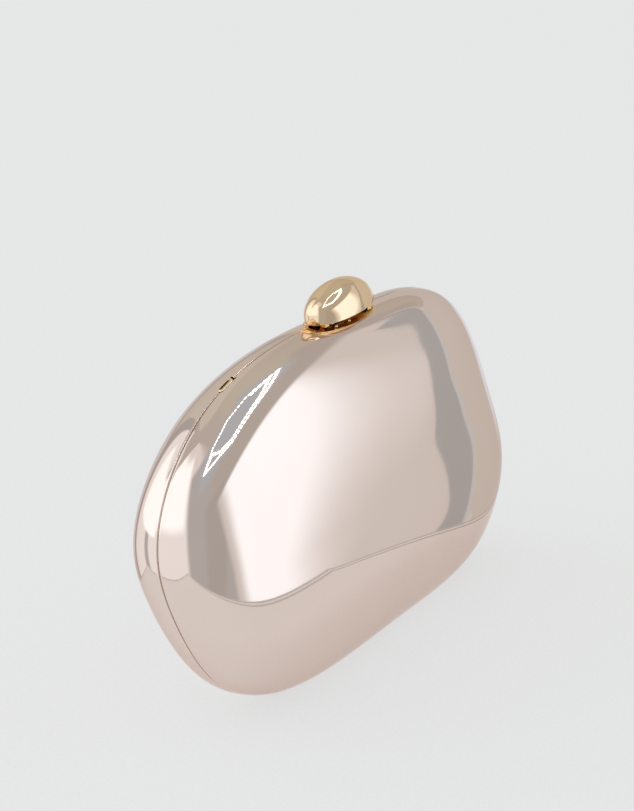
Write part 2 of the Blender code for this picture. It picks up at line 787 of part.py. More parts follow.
def main():
    """Build every piece and hang it on the joint that moves it."""
    clear_scene()
    materials = {
        "shell": metal("rose_gold_plate", (0.80, 0.66, 0.60), 0.05),
        "frame": metal("pale_gold_frame", (0.80, 0.68, 0.55), 0.18),
        "lining": metal("satin_lining", (0.62, 0.52, 0.47), 0.70, 0.0),
        "hinge": metal("gold_hinge", (0.78, 0.62, 0.40), 0.22),
        "clasp": metal("gold_clasp", (0.85, 0.62, 0.33), 0.12),
        "knob": metal("polished_gold_knob", (0.86, 0.70, 0.45), 0.04),
        "spring": metal("spring_steel", (0.55, 0.55, 0.56), 0.30),
        "chain_bar": metal("gold_chain_bar", (0.82, 0.66, 0.45), 0.12),
    }
    case = make_case(materials)
    hinges = make_hinges(case, materials)
    bars = [make_chain_bar("left_chain_bar", left_chain_bar_place, case, materials["chain_bar"]),
            make_chain_bar("right_chain_bar", right_chain_bar_place, case, materials["chain_bar"])]
    frame = local_frame(clasp_place)
    base = make_base_plate(case, frame, materials)
    catch = make_catch_plate(case, frame, materials)
    moving = [make_lever(frame, materials), make_knob(frame, materials)] + make_knob_screws(frame, materials)
    front_half = add_joint("front_half", Matrix.Translation((0, 0, hinge_height)))
    clasp = add_joint("clasp", frame @ Matrix.Translation(axle_point(0)), front_half)
    bpy.context.view_layer.update()
    back_half = add_joint("back_half", Matrix())
    carry(back_half, [case["back_shell"], case["back_frame"], case["back_lining"]])
    carry(back_half, hinges["back"] + bars + catch)
    carry(front_half, [case["front_shell"], case["front_frame"], case["front_lining"]])
    carry(front_half, hinges["front"] + base)
    carry(clasp, moving)


main()
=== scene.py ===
"""Looks of a hard-shell pebble clutch: polished shells, rim frames, cloth liners, egg knob and clasp.

Everything is in metres, in the clutch's own frame: X along the width, -Y the front, +Z up.
"""

import json
import logging
import math
from collections.abc import Sequence
from dataclasses import dataclass, field, replace
from enum import Enum
from functools import cache
from itertools import pairwise

import bpy
from mathutils import Matrix, Vector

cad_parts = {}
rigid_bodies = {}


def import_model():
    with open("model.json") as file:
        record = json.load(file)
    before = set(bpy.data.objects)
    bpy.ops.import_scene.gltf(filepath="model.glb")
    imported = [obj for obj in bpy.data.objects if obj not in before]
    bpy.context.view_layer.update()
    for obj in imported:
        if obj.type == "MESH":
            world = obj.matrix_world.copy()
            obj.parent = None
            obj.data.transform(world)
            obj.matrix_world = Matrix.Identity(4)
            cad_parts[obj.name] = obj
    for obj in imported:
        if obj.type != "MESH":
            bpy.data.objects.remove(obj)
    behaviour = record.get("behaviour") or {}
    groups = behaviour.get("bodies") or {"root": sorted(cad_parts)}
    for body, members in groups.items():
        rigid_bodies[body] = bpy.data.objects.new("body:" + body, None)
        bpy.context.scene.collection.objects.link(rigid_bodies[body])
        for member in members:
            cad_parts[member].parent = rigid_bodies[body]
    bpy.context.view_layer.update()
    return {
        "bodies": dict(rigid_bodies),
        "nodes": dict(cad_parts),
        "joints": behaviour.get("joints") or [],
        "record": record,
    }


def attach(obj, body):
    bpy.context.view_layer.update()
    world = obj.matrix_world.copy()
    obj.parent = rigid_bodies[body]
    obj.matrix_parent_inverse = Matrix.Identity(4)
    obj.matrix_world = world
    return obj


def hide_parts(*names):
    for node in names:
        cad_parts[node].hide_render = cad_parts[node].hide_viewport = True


LOG = logging.getLogger("clutch")
MM = 0.001
UP = Vector((0, 0, 1))


class Half(Enum):
    """One half of the case; the value is the side of the seam that it lies on."""

    FRONT = -1
    BACK = 1

    @property
    def label(self) -> str:
        """Word that starts the names of the half's pieces."""
        return self.name.lower()

    @property
    def body(self) -> str:
        """Name of the body that the half's pieces ride on."""
        return f"{self.label}_half"


class Carving(Enum):
    """What a tool does to the piece that it is held against; the value is Blender's word for it."""

    CUT = "DIFFERENCE"
    JOIN = "UNION"


# Modelling


def curve_near(guides: Sequence, steps: int) -> list:
    """Draw a smooth cubic curve near a row of guide points.

    Args:
        guides: Pairs of numbers; the curve runs from near the second to near the last but one.
        steps: Places on the curve for each guide point that it passes.

    Returns:
        The curve's places, as pairs of numbers.
    """
    curve = []
    for index in range(len(guides) - 3):
        near = guides[index:index + 4]
        for step in range(steps):
            t = step / steps
            weights = ((1 - t) ** 3, 3 * t ** 3 - 6 * t ** 2 + 4,
                       -3 * t ** 3 + 3 * t ** 2 + 3 * t + 1, t ** 3)
            curve.append(tuple(sum(w * g[axis] for w, g in zip(weights, near)) / 6 for axis in (0, 1)))
    return curve


def toward(turn: float, rise: float) -> Vector:
    """The direction at some degrees round from the front and some degrees above the horizon."""
    turn, rise = math.radians(turn), math.radians(rise)
    return Vector((math.sin(turn) * math.cos(rise), -math.cos(turn) * math.cos(rise), math.sin(rise)))


class Bench:
    """Work with Blender's own operators on one object at a time."""

    @staticmethod
    def clear() -> None:
        """Deselect everything."""
        bpy.ops.object.select_all(action="DESELECT")

    @staticmethod
    def pick(item: bpy.types.Object) -> bpy.types.Object:
        """Select one object and make it the active one.

        Args:
            item: The object to work on.

        Returns:
            The same object.
        """
        Bench.clear()
        item.select_set(True)
        bpy.context.view_layer.objects.active = item
        return item

    @staticmethod
    def take(name: str) -> bpy.types.Object:
        """Name the primitive that was just added and settle its place in its mesh.

        Args:
            name: The object's new name.

        Returns:
            The new object.
        """
        item = Bench.pick(bpy.context.view_layer.objects.active)
        item.name = name
        item.data.name = name
        bpy.ops.object.transform_apply(location=True, rotation=True, scale=True)
        return item

    @staticmethod
    def settle(item: bpy.types.Object, frame: Matrix) -> bpy.types.Object:
        """Move a finished mesh into another frame and leave its object at the origin.

        Args:
            item: The object whose mesh moves.
            frame: Where the mesh's own frame goes.

        Returns:
            The same object.
        """
        Bench.pick(item)
        item.matrix_world = frame
        bpy.ops.object.transform_apply(location=True, rotation=True, scale=True)
        return item

    @staticmethod
    def repeat(item: bpy.types.Object, name: str, frame: Matrix) -> bpy.types.Object:
        """Copy a piece, with a mesh of its own.

        Args:
            item: The piece to copy.
            name: The copy's name.
            frame: Where the copy goes.

        Returns:
            The copy, with its place in its mesh.
        """
        copy = item.copy()
        copy.data = item.data.copy()
        copy.name = name
        bpy.context.scene.collection.objects.link(copy)
        return Bench.settle(copy, frame)

    @staticmethod
    def merge(item: bpy.types.Object, distance: float = 1e-7) -> None:
        """Merge the points that lie together and turn the faces outwards.

        Args:
            item: The piece.
            distance: Points closer than this are merged.
        """
        Bench.pick(item)
        bpy.ops.object.mode_set(mode="EDIT")
        bpy.ops.mesh.select_all(action="SELECT")
        bpy.ops.mesh.remove_doubles(threshold=distance)
        bpy.ops.mesh.normals_make_consistent(inside=False)
        bpy.ops.object.mode_set(mode="OBJECT")

    @staticmethod
    def finish(item: bpy.types.Object, angle: float = 32.0) -> bpy.types.Object:
        """Merge doubles, turn the faces outwards and shade the piece smooth up to an angle.

        Args:
            item: The piece to finish.
            angle: Edges sharper than this many degrees stay sharp.

        Returns:
            The same piece.
        """
        Bench.merge(item)
        bpy.ops.object.shade_smooth_by_angle(angle=math.radians(angle))
        return item

    @staticmethod
    def soften(item: bpy.types.Object, width: float, segments: int = 3, angle: float = 50.0) -> None:
        """Round off a piece's sharp edges.

        Args:
            item: The piece.
            width: Width of the rounding.
            segments: How many faces the rounding has.
            angle: Edges sharper than this many degrees are rounded.
        """
        Bench.pick(item)
        edge = item.modifiers.new("edge", "BEVEL")
        edge.width, edge.segments, edge.limit_method = width, segments, "ANGLE"
        edge.angle_limit = math.radians(angle)
        bpy.ops.object.modifier_apply(modifier=edge.name)

    @staticmethod
    def trim(item: bpy.types.Object, point: Sequence, inward: Sequence, capped: bool,
             near: float = 0.1 * MM) -> None:
        """Cut off what lies behind a plane.

        Args:
            item: The piece.
            point: A point on the plane.
            inward: Direction from the plane into what stays.
            capped: Whether a face closes the cut.
            near: How near to the plane a point counts as lying on it.
        """
        Bench.pick(item)
        bpy.ops.object.mode_set(mode="EDIT")
        bpy.ops.mesh.select_all(action="SELECT")
        bpy.ops.mesh.bisect(plane_co=point, plane_no=inward, use_fill=capped, clear_inner=True,
                            threshold=near)
        bpy.ops.object.mode_set(mode="OBJECT")

    @staticmethod
    def carve(target: bpy.types.Object, tool: bpy.types.Object, carving: Carving = Carving.CUT) -> None:
        """Cut a tool out of a piece, or join it to the piece, and remove the tool.

        Args:
            target: The piece that changes.
            tool: The closed shape that cuts or joins.
            carving: Whether it cuts or joins.
        """
        Bench.pick(target)
        change = target.modifiers.new("carve", "BOOLEAN")
        change.operation = carving.value
        change.solver = "EXACT"
        change.object = tool
        bpy.ops.object.modifier_apply(modifier=change.name)
        bpy.data.objects.remove(tool)

    @staticmethod
    def bar(name: str, radius: float, start: Vector, end: Vector, sides: int) -> bpy.types.Object:
        """A round bar between two points.

        Args:
            name: The bar's name.
            radius: Its radius.
            start: Middle of one end.
            end: Middle of the other end.
            sides: How many sides its section has.

        Returns:
            The bar, with its place in its mesh.
        """
        run = Vector(end) - Vector(start)
        turn = UP.rotation_difference(run).to_euler()
        Bench.clear()
        bpy.ops.mesh.primitive_cylinder_add(vertices=sides, radius=radius, depth=run.length,
                                            location=(Vector(start) + Vector(end)) / 2, rotation=turn)
        return Bench.take(name)

    @staticmethod
    def brick(name: str, low: tuple, high: tuple, frame: Matrix = Matrix()) -> bpy.types.Object:
        """A rectangular block between two corners of a local frame.

        Args:
            name: The block's name.
            low: Its lowest corner.
            high: Its highest corner.
            frame: The local frame.

        Returns:
            The block, with its place in its mesh.
        """
        low, high = Vector(low), Vector(high)
        Bench.clear()
        bpy.ops.mesh.primitive_cube_add(size=1, location=(low + high) / 2)
        bpy.context.view_layer.objects.active.scale = high - low
        return Bench.settle(Bench.take(name), frame)

    @staticmethod
    def egg(name: str, centre: Sequence, halves: Sequence, segments: int, rings: int) -> bpy.types.Object:
        """An ellipsoid.

        Args:
            name: Its name.
            centre: Its middle.
            halves: Half its size along each axis.
            segments: How many faces go round it.
            rings: How many faces it has from pole to pole.

        Returns:
            The ellipsoid, with its place in its mesh.
        """
        Bench.clear()
        bpy.ops.mesh.primitive_uv_sphere_add(segments=segments, ring_count=rings, radius=1, location=centre)
        bpy.context.view_layer.objects.active.scale = halves
        return Bench.take(name)

    @staticmethod
    def oval(name: str, centre: Sequence, size: Sequence) -> bpy.types.Object:
        """An upright block with an oval outline.

        Args:
            name: Its name.
            centre: Its middle.
            size: Its half length, half width and height.

        Returns:
            The block, with its place in its mesh.
        """
        Bench.clear()
        bpy.ops.mesh.primitive_cylinder_add(vertices=96, radius=1, depth=1, location=centre)
        bpy.context.view_layer.objects.active.scale = size
        return Bench.take(name)


# Form of the case


@dataclass(frozen=True)
class Station:
    """Size and place of one ring of the form: half width, half height, distance from the seam, floor."""

    wide: float
    tall: float
    out: float
    floor: float


@dataclass(frozen=True)
class PebbleForm:
    """The pebble: an uneven rounded outline that swells out from the seam to a shallow face."""

    width: float = 0.200
    height: float = 0.0985
    half_depth: float = 0.0185
    seam_gap: float = 0.0005
    base_flat: float = 0.0015
    fullness: float = 2.31
    spans: int = 20
    guides: tuple = ((0.32, -0.99), (0.86, -1.04), (1.06, -0.45), (0.885, 0.17), (0.72, 0.88), (0.315, 0.92),
                     (-0.305, 1.03), (-0.795, 0.88), (-1.045, 0.33), (-0.935, -0.17), (-0.70, -0.79),
                     (-0.31, -1.02))

    @property
    def form_height(self) -> float:
        """Height of the form before its base is flattened."""
        return self.height + self.base_flat

    @property
    def middle(self) -> float:
        """Height of the form's middle over the base."""
        return self.height - self.form_height / 2

    @cache
    def outline(self) -> list:
        """The outline as (x, z) pairs that reach exactly 1 each way.

        Returns:
            The points of a closed cubic curve drawn near the guide points.
        """
        curve = curve_near((self.guides[-1], *self.guides, *self.guides[:2]), self.spans)
        limits = [(min(values), max(values)) for values in zip(*curve)]
        return [tuple((value - (low + high) / 2) / ((high - low) / 2)
                      for value, (low, high) in zip(place, limits)) for place in curve]

    def reach(self, rise: float) -> float:
        """Share of the outline that a ring still reaches at a share of the depth."""
        return max(0.0, 1 - min(1.0, rise) ** self.fullness) ** (1 / self.fullness)

    @staticmethod
    def spread(reach: float, half_width: float, half_height: float) -> float:
        """Share of the width that a ring reaches; near the rim it draws in alike on all sides.

        Args:
            reach: Share of the height that the ring reaches.
            half_width: Half the form's width.
            half_height: Half the form's height.

        Returns:
            The share of the width.
        """
        drawn = 1 - reach
        slimness = half_height / half_width
        return 1 - slimness * drawn - (1 - slimness) * drawn ** 3

    def station(self, inset: float, rise: float, floor: float | None = None) -> Station:
        """The ring that lies inset below the outer face at a share of the depth.

        Args:
            inset: Distance below the outer face.
            rise: Share of the depth, from 0 at the seam to 1 in the middle of the face.
            floor: Lowest height of the ring, or the inset where none is given.

        Returns:
            The ring's sizes and place.
        """
        half_width, half_height = self.width / 2 - inset, self.form_height / 2 - inset
        reach = self.reach(rise)
        wide = half_width * self.spread(reach, half_width, half_height)
        out = self.seam_gap / 2 + (self.half_depth - inset) * rise
        return Station(wide, half_height * reach, out, inset if floor is None else floor)

    def face_rises(self, start: float, count: int) -> list:
        """Shares of the depth from a distance past the seam to just short of the face's middle.

        Args:
            start: Distance from the seam at which the rings start.
            count: How many rings there are.

        Returns:
            The shares, evenly spaced round the swell.
        """
        first = math.asin((start / self.half_depth) ** (self.fullness / 2))
        turns = [first + (math.pi / 2 - first) * index / count for index in range(count)]
        return [math.sin(turn) ** (2 / self.fullness) for turn in turns]

    def rim_point(self, x: float) -> tuple:
        """Find the upper outline over a place of the seam.

        Args:
            x: The place along the seam.

        Returns:
            The outline's point there and its slope.
        """
        curve = [(self.width / 2 * px, self.middle + self.form_height / 2 * pz) for px, pz in self.outline()]
        for (x0, z0), (x1, z1) in zip(curve, curve[1:] + curve[:1]):
            if z0 > self.middle and min(x0, x1) <= x <= max(x0, x1):
                height = z0 + (z1 - z0) * (x - x0) / (x1 - x0)
                return Vector((x, 0, height)), math.atan2(z0 - z1, x0 - x1)
        raise ValueError("x lies outside the outline")

    def frame_at(self, x: float) -> Matrix:
        """Frame on top of the seam at x: local X along the seam, local Z out of the case."""
        origin, slope = self.rim_point(x)
        return Matrix.Translation(origin) @ Matrix.Rotation(-slope, 4, "Y")

    def top(self, x: float, y: float) -> float:
        """Find the height of the outer face.

        Args:
            x: Place along the case.
            y: Place across the case.

        Returns:
            The face's height over that point.
        """
        reach = self.reach(max(0.0, abs(y) - self.seam_gap / 2) / self.half_depth)
        rim, _ = self.rim_point(x / self.spread(reach, self.width / 2, self.form_height / 2))
        return self.middle + (rim.z - self.middle) * reach

    def seat(self, x: float, y: float, lift: float) -> Matrix:
        """Find a frame that stands over the outer face, with its Z straight out of the face.

        Args:
            x: Place along the case.
            y: Place across the case.
            lift: Distance from the face.

        Returns:
            The frame.
        """
        step = 0.4 * MM
        along = (self.top(x + step, y) - self.top(x - step, y)) / (2 * step)
        across = (self.top(x, y + step) - self.top(x, y - step)) / (2 * step)
        out = Vector((-along, -across, 1)).normalized()
        turn = UP.rotation_difference(out).to_matrix().to_4x4()
        return Matrix.Translation(Vector((x, y, self.top(x, y))) + out * lift) @ turn

    def loft(self, name: str, half: Half, stations: list, capped: bool) -> bpy.types.Object:
        """Model one piece by extruding a ring of the outline from station to station.

        Args:
            name: The piece's name.
            half: The half that it belongs to.
            stations: Its rings in order.
            capped: Whether both ends run to a pole; otherwise the last ring joins the first.

        Returns:
            The closed piece, before it is finished.
        """
        outline, side, first = self.outline(), half.value, stations[0]
        Bench.clear()
        bpy.ops.mesh.primitive_circle_add(vertices=len(outline), radius=1)
        item = Bench.take(name)
        for vertex, (x, z) in zip(item.data.vertices, outline):
            vertex.co = (first.wide * x, side * first.out, self.middle + first.tall * z)
        bpy.ops.object.mode_set(mode="EDIT")
        bpy.ops.mesh.select_all(action="SELECT")
        for before, after in pairwise(stations):
            bpy.ops.mesh.extrude_edges_indiv()
            bpy.ops.transform.resize(value=(after.wide / before.wide, 1, after.tall / before.tall),
                                     center_override=(0, 0, self.middle))
            bpy.ops.transform.translate(value=(0, side * (after.out - before.out), 0))
        bpy.ops.object.mode_set(mode="OBJECT")
        rings = len(outline)
        for index, vertex in enumerate(item.data.vertices):
            vertex.co.z = max(vertex.co.z, stations[index // rings].floor)
        self.close(item, rings, capped)
        return item

    @staticmethod
    def close(item: bpy.types.Object, ring: int, capped: bool) -> None:
        """Close a lofted piece at its ends.

        Args:
            item: The lofted piece.
            ring: Number of points in one ring.
            capped: Whether each end runs to a pole.
        """
        count = len(item.data.vertices)
        bpy.ops.object.mode_set(mode="EDIT")
        bpy.ops.mesh.select_mode(type="VERT")
        ends = [range(ring), range(count - ring, count)]
        for chosen in (ends if capped else [list(ends[0]) + list(ends[1])]):
            bpy.ops.mesh.select_all(action="DESELECT")
            bpy.ops.object.mode_set(mode="OBJECT")
            for index in chosen:
                item.data.vertices[index].select = True
            bpy.ops.object.mode_set(mode="EDIT")
            if capped:
                bpy.ops.mesh.edge_face_add()
                bpy.ops.mesh.poke()
            else:
                bpy.ops.mesh.bridge_edge_loops()
        bpy.ops.object.mode_set(mode="OBJECT")


# Finishes


class Nodes:
    """A small hand for wiring shader nodes."""

    def __init__(self, tree: bpy.types.NodeTree) -> None:
        """Start on an empty tree of nodes."""
        self.tree = tree
        tree.nodes.clear()

    def add(self, kind: str, **values: object) -> bpy.types.Node:
        """Add a node and set its own values or its sockets' values.

        Args:
            kind: The node's type.
            **values: Properties of the node, or values of its inputs with spaces as underscores.

        Returns:
            The new node.
        """
        node = self.tree.nodes.new(kind)
        for key, value in values.items():
            if hasattr(node, key):
                setattr(node, key, value)
            else:
                node.inputs[key.replace("_", " ")].default_value = value
        return node

    @classmethod
    def for_material(cls, name: str) -> tuple:
        """Start a new material.

        Args:
            name: The material's name.

        Returns:
            The material and a hand for its nodes.
        """
        material = bpy.data.materials.new(name)
        material.use_nodes = True
        return material, cls(material.node_tree)

    def link(self, start: bpy.types.NodeSocket, end: bpy.types.NodeSocket) -> None:
        """Join an output to an input."""
        self.tree.links.new(start, end)

    def place(self) -> bpy.types.NodeSocket:
        """The piece's own coordinates."""
        return self.add("ShaderNodeTexCoord").outputs["Object"]

    def parts(self, vector: bpy.types.NodeSocket) -> tuple:
        """The x, y and z of a vector's socket."""
        node = self.add("ShaderNodeSeparateXYZ")
        self.link(vector, node.inputs[0])
        return tuple(node.outputs)

    def noise(self, place: bpy.types.NodeSocket, **values: object) -> bpy.types.NodeSocket:
        """A noise pattern.

        Args:
            place: Socket of the coordinates.
            **values: The noise's own values.

        Returns:
            The pattern's socket, from 0 to 1.
        """
        node = self.add("ShaderNodeTexNoise", **values)
        self.link(place, node.inputs["Vector"])
        return node.outputs["Fac"]

    def relief(self, height: bpy.types.NodeSocket, shader: bpy.types.Node, strength: float,
               depth: float) -> None:
        """Raise fine relief on a shader.

        Args:
            height: Socket of the relief's height.
            shader: The shader.
            strength: How strongly it shows.
            depth: How deep it is.
        """
        node = self.add("ShaderNodeBump", Strength=strength, Distance=depth)
        self.link(height, node.inputs["Height"])
        self.link(node.outputs[0], shader.inputs["Normal"])

    def surface(self, shader: bpy.types.Node) -> None:
        """Show a shader on the material's surface."""
        self.link(shader.outputs[0], self.add("ShaderNodeOutputMaterial").inputs["Surface"])

    def math(self, operation: str, *values: object) -> bpy.types.NodeSocket:
        """A sum of numbers or sockets.

        Args:
            operation: The Math node's operation.
            *values: Numbers or output sockets.

        Returns:
            The result's socket.
        """
        node = self.add("ShaderNodeMath", operation=operation)
        for socket, value in zip(node.inputs, values):
            if isinstance(value, (int, float)):
                socket.default_value = value
            else:
                self.link(value, socket)
        return node.outputs[0]

    def blend(self, mask: object, first: object, second: object) -> bpy.types.NodeSocket:
        """A colour that goes from the first to the second as the mask goes from 0 to 1.

        Args:
            mask: A number or its socket.
            first: A colour or its socket.
            second: A colour or its socket.

        Returns:
            The colour's socket.
        """
        node = self.add("ShaderNodeMix", data_type="RGBA")
        for socket, value in zip((node.inputs[0], node.inputs[6], node.inputs[7]), (mask, first, second)):
            if isinstance(value, bpy.types.NodeSocket):
                self.link(value, socket)
            else:
                socket.default_value = value
        return node.outputs[2]

    def ramp(self, value: bpy.types.NodeSocket, low: float, high: float, to_low: float = 0.0,
             to_high: float = 1.0) -> bpy.types.NodeSocket:
        """A number moved smoothly from one range to another.

        Args:
            value: The number's socket.
            low: Where the range starts.
            high: Where it ends.
            to_low: Result at the start.
            to_high: Result at the end.

        Returns:
            The result's socket.
        """
        node = self.add("ShaderNodeMapRange", interpolation_type="SMOOTHSTEP")
        self.link(value, node.inputs[0])
        for socket, number in zip(node.inputs[1:5], (low, high, to_low, to_high)):
            socket.default_value = number
        return node.outputs[0]


class PolishGroup:
    """Shared node group: hairlines and faint finger haze on polished metal."""

    NAME = "polish"
    INPUTS = (("Roughness", 0.05), ("Hairlines", 0.02), ("Haze", 0.02), ("Scale", 1.0))
    STROKES = ((0.5, (30, 900, 30)), (1.2, (700, 24, 60)), (2.3, (40, 40, 800)))
    STROKE_LIMITS = (0.62, 0.70)
    HAZE_SCALE = 38.0
    HAZE_LIMITS = (0.42, 0.70)

    @classmethod
    def get(cls) -> bpy.types.NodeTree:
        """Build the group once.

        Returns:
            The group, which puts out Roughness and Height.
        """
        if cls.NAME in bpy.data.node_groups:
            return bpy.data.node_groups[cls.NAME]
        tree = bpy.data.node_groups.new(cls.NAME, "ShaderNodeTree")
        nodes = Nodes(tree)
        for name, default in cls.INPUTS:
            socket = tree.interface.new_socket(name, in_out="INPUT", socket_type="NodeSocketFloat")
            socket.default_value = default
        for name in ("Roughness", "Height"):
            tree.interface.new_socket(name, in_out="OUTPUT", socket_type="NodeSocketFloat")
        given = nodes.add("NodeGroupInput")
        place = nodes.place()
        hair = 0.0
        for turn, stretch in cls.STROKES:
            mapping = nodes.add("ShaderNodeMapping", Rotation=(turn, turn / 2, turn), Scale=stretch)
            nodes.link(place, mapping.inputs["Vector"])
            noise = nodes.noise(mapping.outputs[0], Detail=3.0, Roughness=0.6)
            nodes.link(given.outputs["Scale"], noise.node.inputs["Scale"])
            hair = nodes.math("MAXIMUM", hair, nodes.ramp(noise, *cls.STROKE_LIMITS))
        smear = nodes.ramp(nodes.noise(place, Scale=cls.HAZE_SCALE, Detail=4.0), *cls.HAZE_LIMITS)
        haze = nodes.math("MULTIPLY", smear, given.outputs["Haze"])
        marks = nodes.math("MULTIPLY", hair, given.outputs["Hairlines"])
        rough = nodes.math("ADD", nodes.math("ADD", given.outputs["Roughness"], haze), marks)
        out = nodes.add("NodeGroupOutput")
        nodes.link(rough, out.inputs["Roughness"])
        nodes.link(nodes.math("MULTIPLY", hair, -1.0), out.inputs["Height"])
        return tree


@dataclass(frozen=True)
class Plate:
    """Plated metal: its colour, how smooth it is, and how much it has been handled."""

    name: str
    colour: tuple
    tarnish: tuple
    roughness: float
    hairlines: float
    haze: float
    scale: float = 1.0
    scratch_depth: float = 0.004
    grain: float = 0.0
    edge: tuple = (0.86, 0.78, 0.74)
    tarnish_scale: float = 22.0
    tarnish_limits: tuple = (0.35, 0.75)
    grain_scale: float = 2600.0
    relief: float = 0.1 * MM

    def make(self) -> bpy.types.Material:
        """Build the material.

        Returns:
            A material with the plate's shader.
        """
        material, nodes = Nodes.for_material(self.name)
        polish = nodes.add("ShaderNodeGroup", node_tree=PolishGroup.get())
        for key, _ in PolishGroup.INPUTS:
            polish.inputs[key].default_value = getattr(self, key.lower())
        shader = nodes.add("ShaderNodeBsdfPrincipled", Metallic=1.0, Specular_Tint=(*self.edge, 1))
        place = nodes.place()
        wear_and_shade = nodes.ramp(nodes.noise(place, Scale=self.tarnish_scale, Detail=5.0), *self.tarnish_limits)
        nodes.link(nodes.blend(wear_and_shade, (*self.colour, 1), (*self.tarnish, 1)), shader.inputs["Base Color"])
        nodes.link(polish.outputs["Roughness"], shader.inputs["Roughness"])
        height = polish.outputs["Height"]
        if self.grain:
            fine = nodes.noise(place, Scale=self.grain_scale, Detail=2.0)
            height = nodes.math("ADD", height, nodes.math("MULTIPLY", fine, self.grain))
        nodes.relief(height, shader, self.scratch_depth, self.relief)
        nodes.surface(shader)
        return material


@dataclass(frozen=True)
class Satin:
    """Satin cloth glued over a stiff liner: fine weave, soft folds with painted shade in them, and a gentle
    sheen.
    """

    name: str = "satin_cloth"
    colour: tuple = (0.56, 0.45, 0.40)
    shaded: tuple = (0.40, 0.31, 0.27)
    threads: float = 5200.0
    thread_height: float = 0.06
    thread_shade: float = 0.80
    roughness: tuple = (0.62, 0.44)
    sheen: float = 0.35
    sheen_roughness: float = 0.35
    fold_scale: float = 46.0
    fold_limits: tuple = (0.30, 0.72)
    relief_strength: float = 0.5
    relief: float = 0.6 * MM

    def make(self) -> bpy.types.Material:
        """Build the material.

        Returns:
            A material with the cloth's shader.
        """
        material, nodes = Nodes.for_material(self.name)
        place = nodes.place()
        weave = 1.0
        for direction in ("X", "Z"):
            wave = nodes.add("ShaderNodeTexWave", bands_direction=direction, Scale=self.threads,
                             Distortion=0.6)
            nodes.link(place, wave.inputs["Vector"])
            weave = nodes.math("MULTIPLY", weave, wave.outputs["Fac"])
        folds = nodes.noise(place, Scale=self.fold_scale, Detail=3.0, Distortion=0.8)
        # The fold noise blends the cloth towards the shaded colour: painted shade in the folds.
        tone = nodes.math("MULTIPLY", nodes.ramp(folds, *self.fold_limits),
                          nodes.ramp(weave, 0.0, 1.0, self.thread_shade, 1.0))
        shader = nodes.add("ShaderNodeBsdfPrincipled", Sheen_Weight=self.sheen,
                           Sheen_Roughness=self.sheen_roughness)
        nodes.link(nodes.blend(tone, (*self.shaded, 1), (*self.colour, 1)), shader.inputs["Base Color"])
        nodes.link(nodes.ramp(weave, 0.0, 1.0, *self.roughness), shader.inputs["Roughness"])
        height = nodes.math("ADD", nodes.math("MULTIPLY", weave, self.thread_height), folds)
        nodes.relief(height, shader, self.relief_strength, self.relief)
        nodes.surface(shader)
        return material


@dataclass
class Finishes:
    """Every finish on the clutch, by the record's material slot."""

    shell: Plate = Plate("rose_gold_mirror", (0.80, 0.675, 0.61), (0.775, 0.65, 0.585), roughness=0.035,
                         hairlines=0.010, haze=0.016)
    frame: Plate = Plate("pale_gold_satin", (0.78, 0.66, 0.54), (0.70, 0.58, 0.46), roughness=0.17,
                         hairlines=0.08, haze=0.05, scale=1.3, scratch_depth=0.05, grain=0.2)
    hinge: Plate = Plate("gold_hinge", (0.76, 0.60, 0.38), (0.62, 0.47, 0.28), roughness=0.20,
                         hairlines=0.10, haze=0.08, scale=1.6, scratch_depth=0.06, grain=0.3)
    chain_bar: Plate = Plate("gold_bar", (0.84, 0.68, 0.46), (0.74, 0.58, 0.36), roughness=0.10,
                             hairlines=0.05, haze=0.04, scale=1.5, scratch_depth=0.02)
    clasp: Plate = Plate("gold_clasp", (0.90, 0.66, 0.34), (0.82, 0.58, 0.28), roughness=0.07,
                         hairlines=0.03, haze=0.03, scale=1.4, scratch_depth=0.01)
    knob: Plate = Plate("yellow_gold_mirror", (0.86, 0.66, 0.46), (0.83, 0.63, 0.43), roughness=0.035,
                        hairlines=0.012, haze=0.015, edge=(0.90, 0.80, 0.68))
    # Darker gold for the lever, the axle and the plates' sunk middles: painted shade under the knob.
    clasp_inner: Plate = Plate("aged_gold", (0.56, 0.34, 0.15), (0.40, 0.22, 0.09), roughness=0.14,
                               hairlines=0.06, haze=0.06, scale=1.6, scratch_depth=0.03,
                               edge=(0.70, 0.52, 0.34))
    spring: Plate = Plate("spring_steel", (0.55, 0.55, 0.56), (0.42, 0.42, 0.43), roughness=0.28,
                          hairlines=0.08, haze=0.08, scale=2.0, scratch_depth=0.05)
    lining: Satin = Satin()
    made: dict = field(default_factory=dict)

    def get(self, slot: str) -> bpy.types.Material:
        """Find a finish's material, and build it when it is first asked for.

        Args:
            slot: The finish.

        Returns:
            Its material.
        """
        if slot not in self.made:
            self.made[slot] = getattr(self, slot).make()
        return self.made[slot]

    def dress(self, item: bpy.types.Object, *slots: str) -> bpy.types.Object:
        """Give a piece its finishes; its faces keep the numbers that say which one they take.

        Args:
            item: The piece.
            *slots: The finishes in their order.

        Returns:
            The same piece.
        """
        numbers = [face.material_index for face in item.data.polygons]
        item.data.materials.clear()
        for slot in slots:
            item.data.materials.append(self.get(slot))
        item.data.polygons.foreach_set("material_index", numbers)
        return item


@dataclass(frozen=True)
class Layout:
    """Places along the seam that several sub-assemblies share, and the room between nested pieces."""

    clasp: float = 7.0 * MM
    hinges: tuple = (-8 * MM, 52 * MM)
    hinge_height: float = 3.05 * MM
    chain_bars: tuple = (-60 * MM, 80 * MM)
    sides: tuple = ("left", "right")
    gap: float = 0.3 * MM


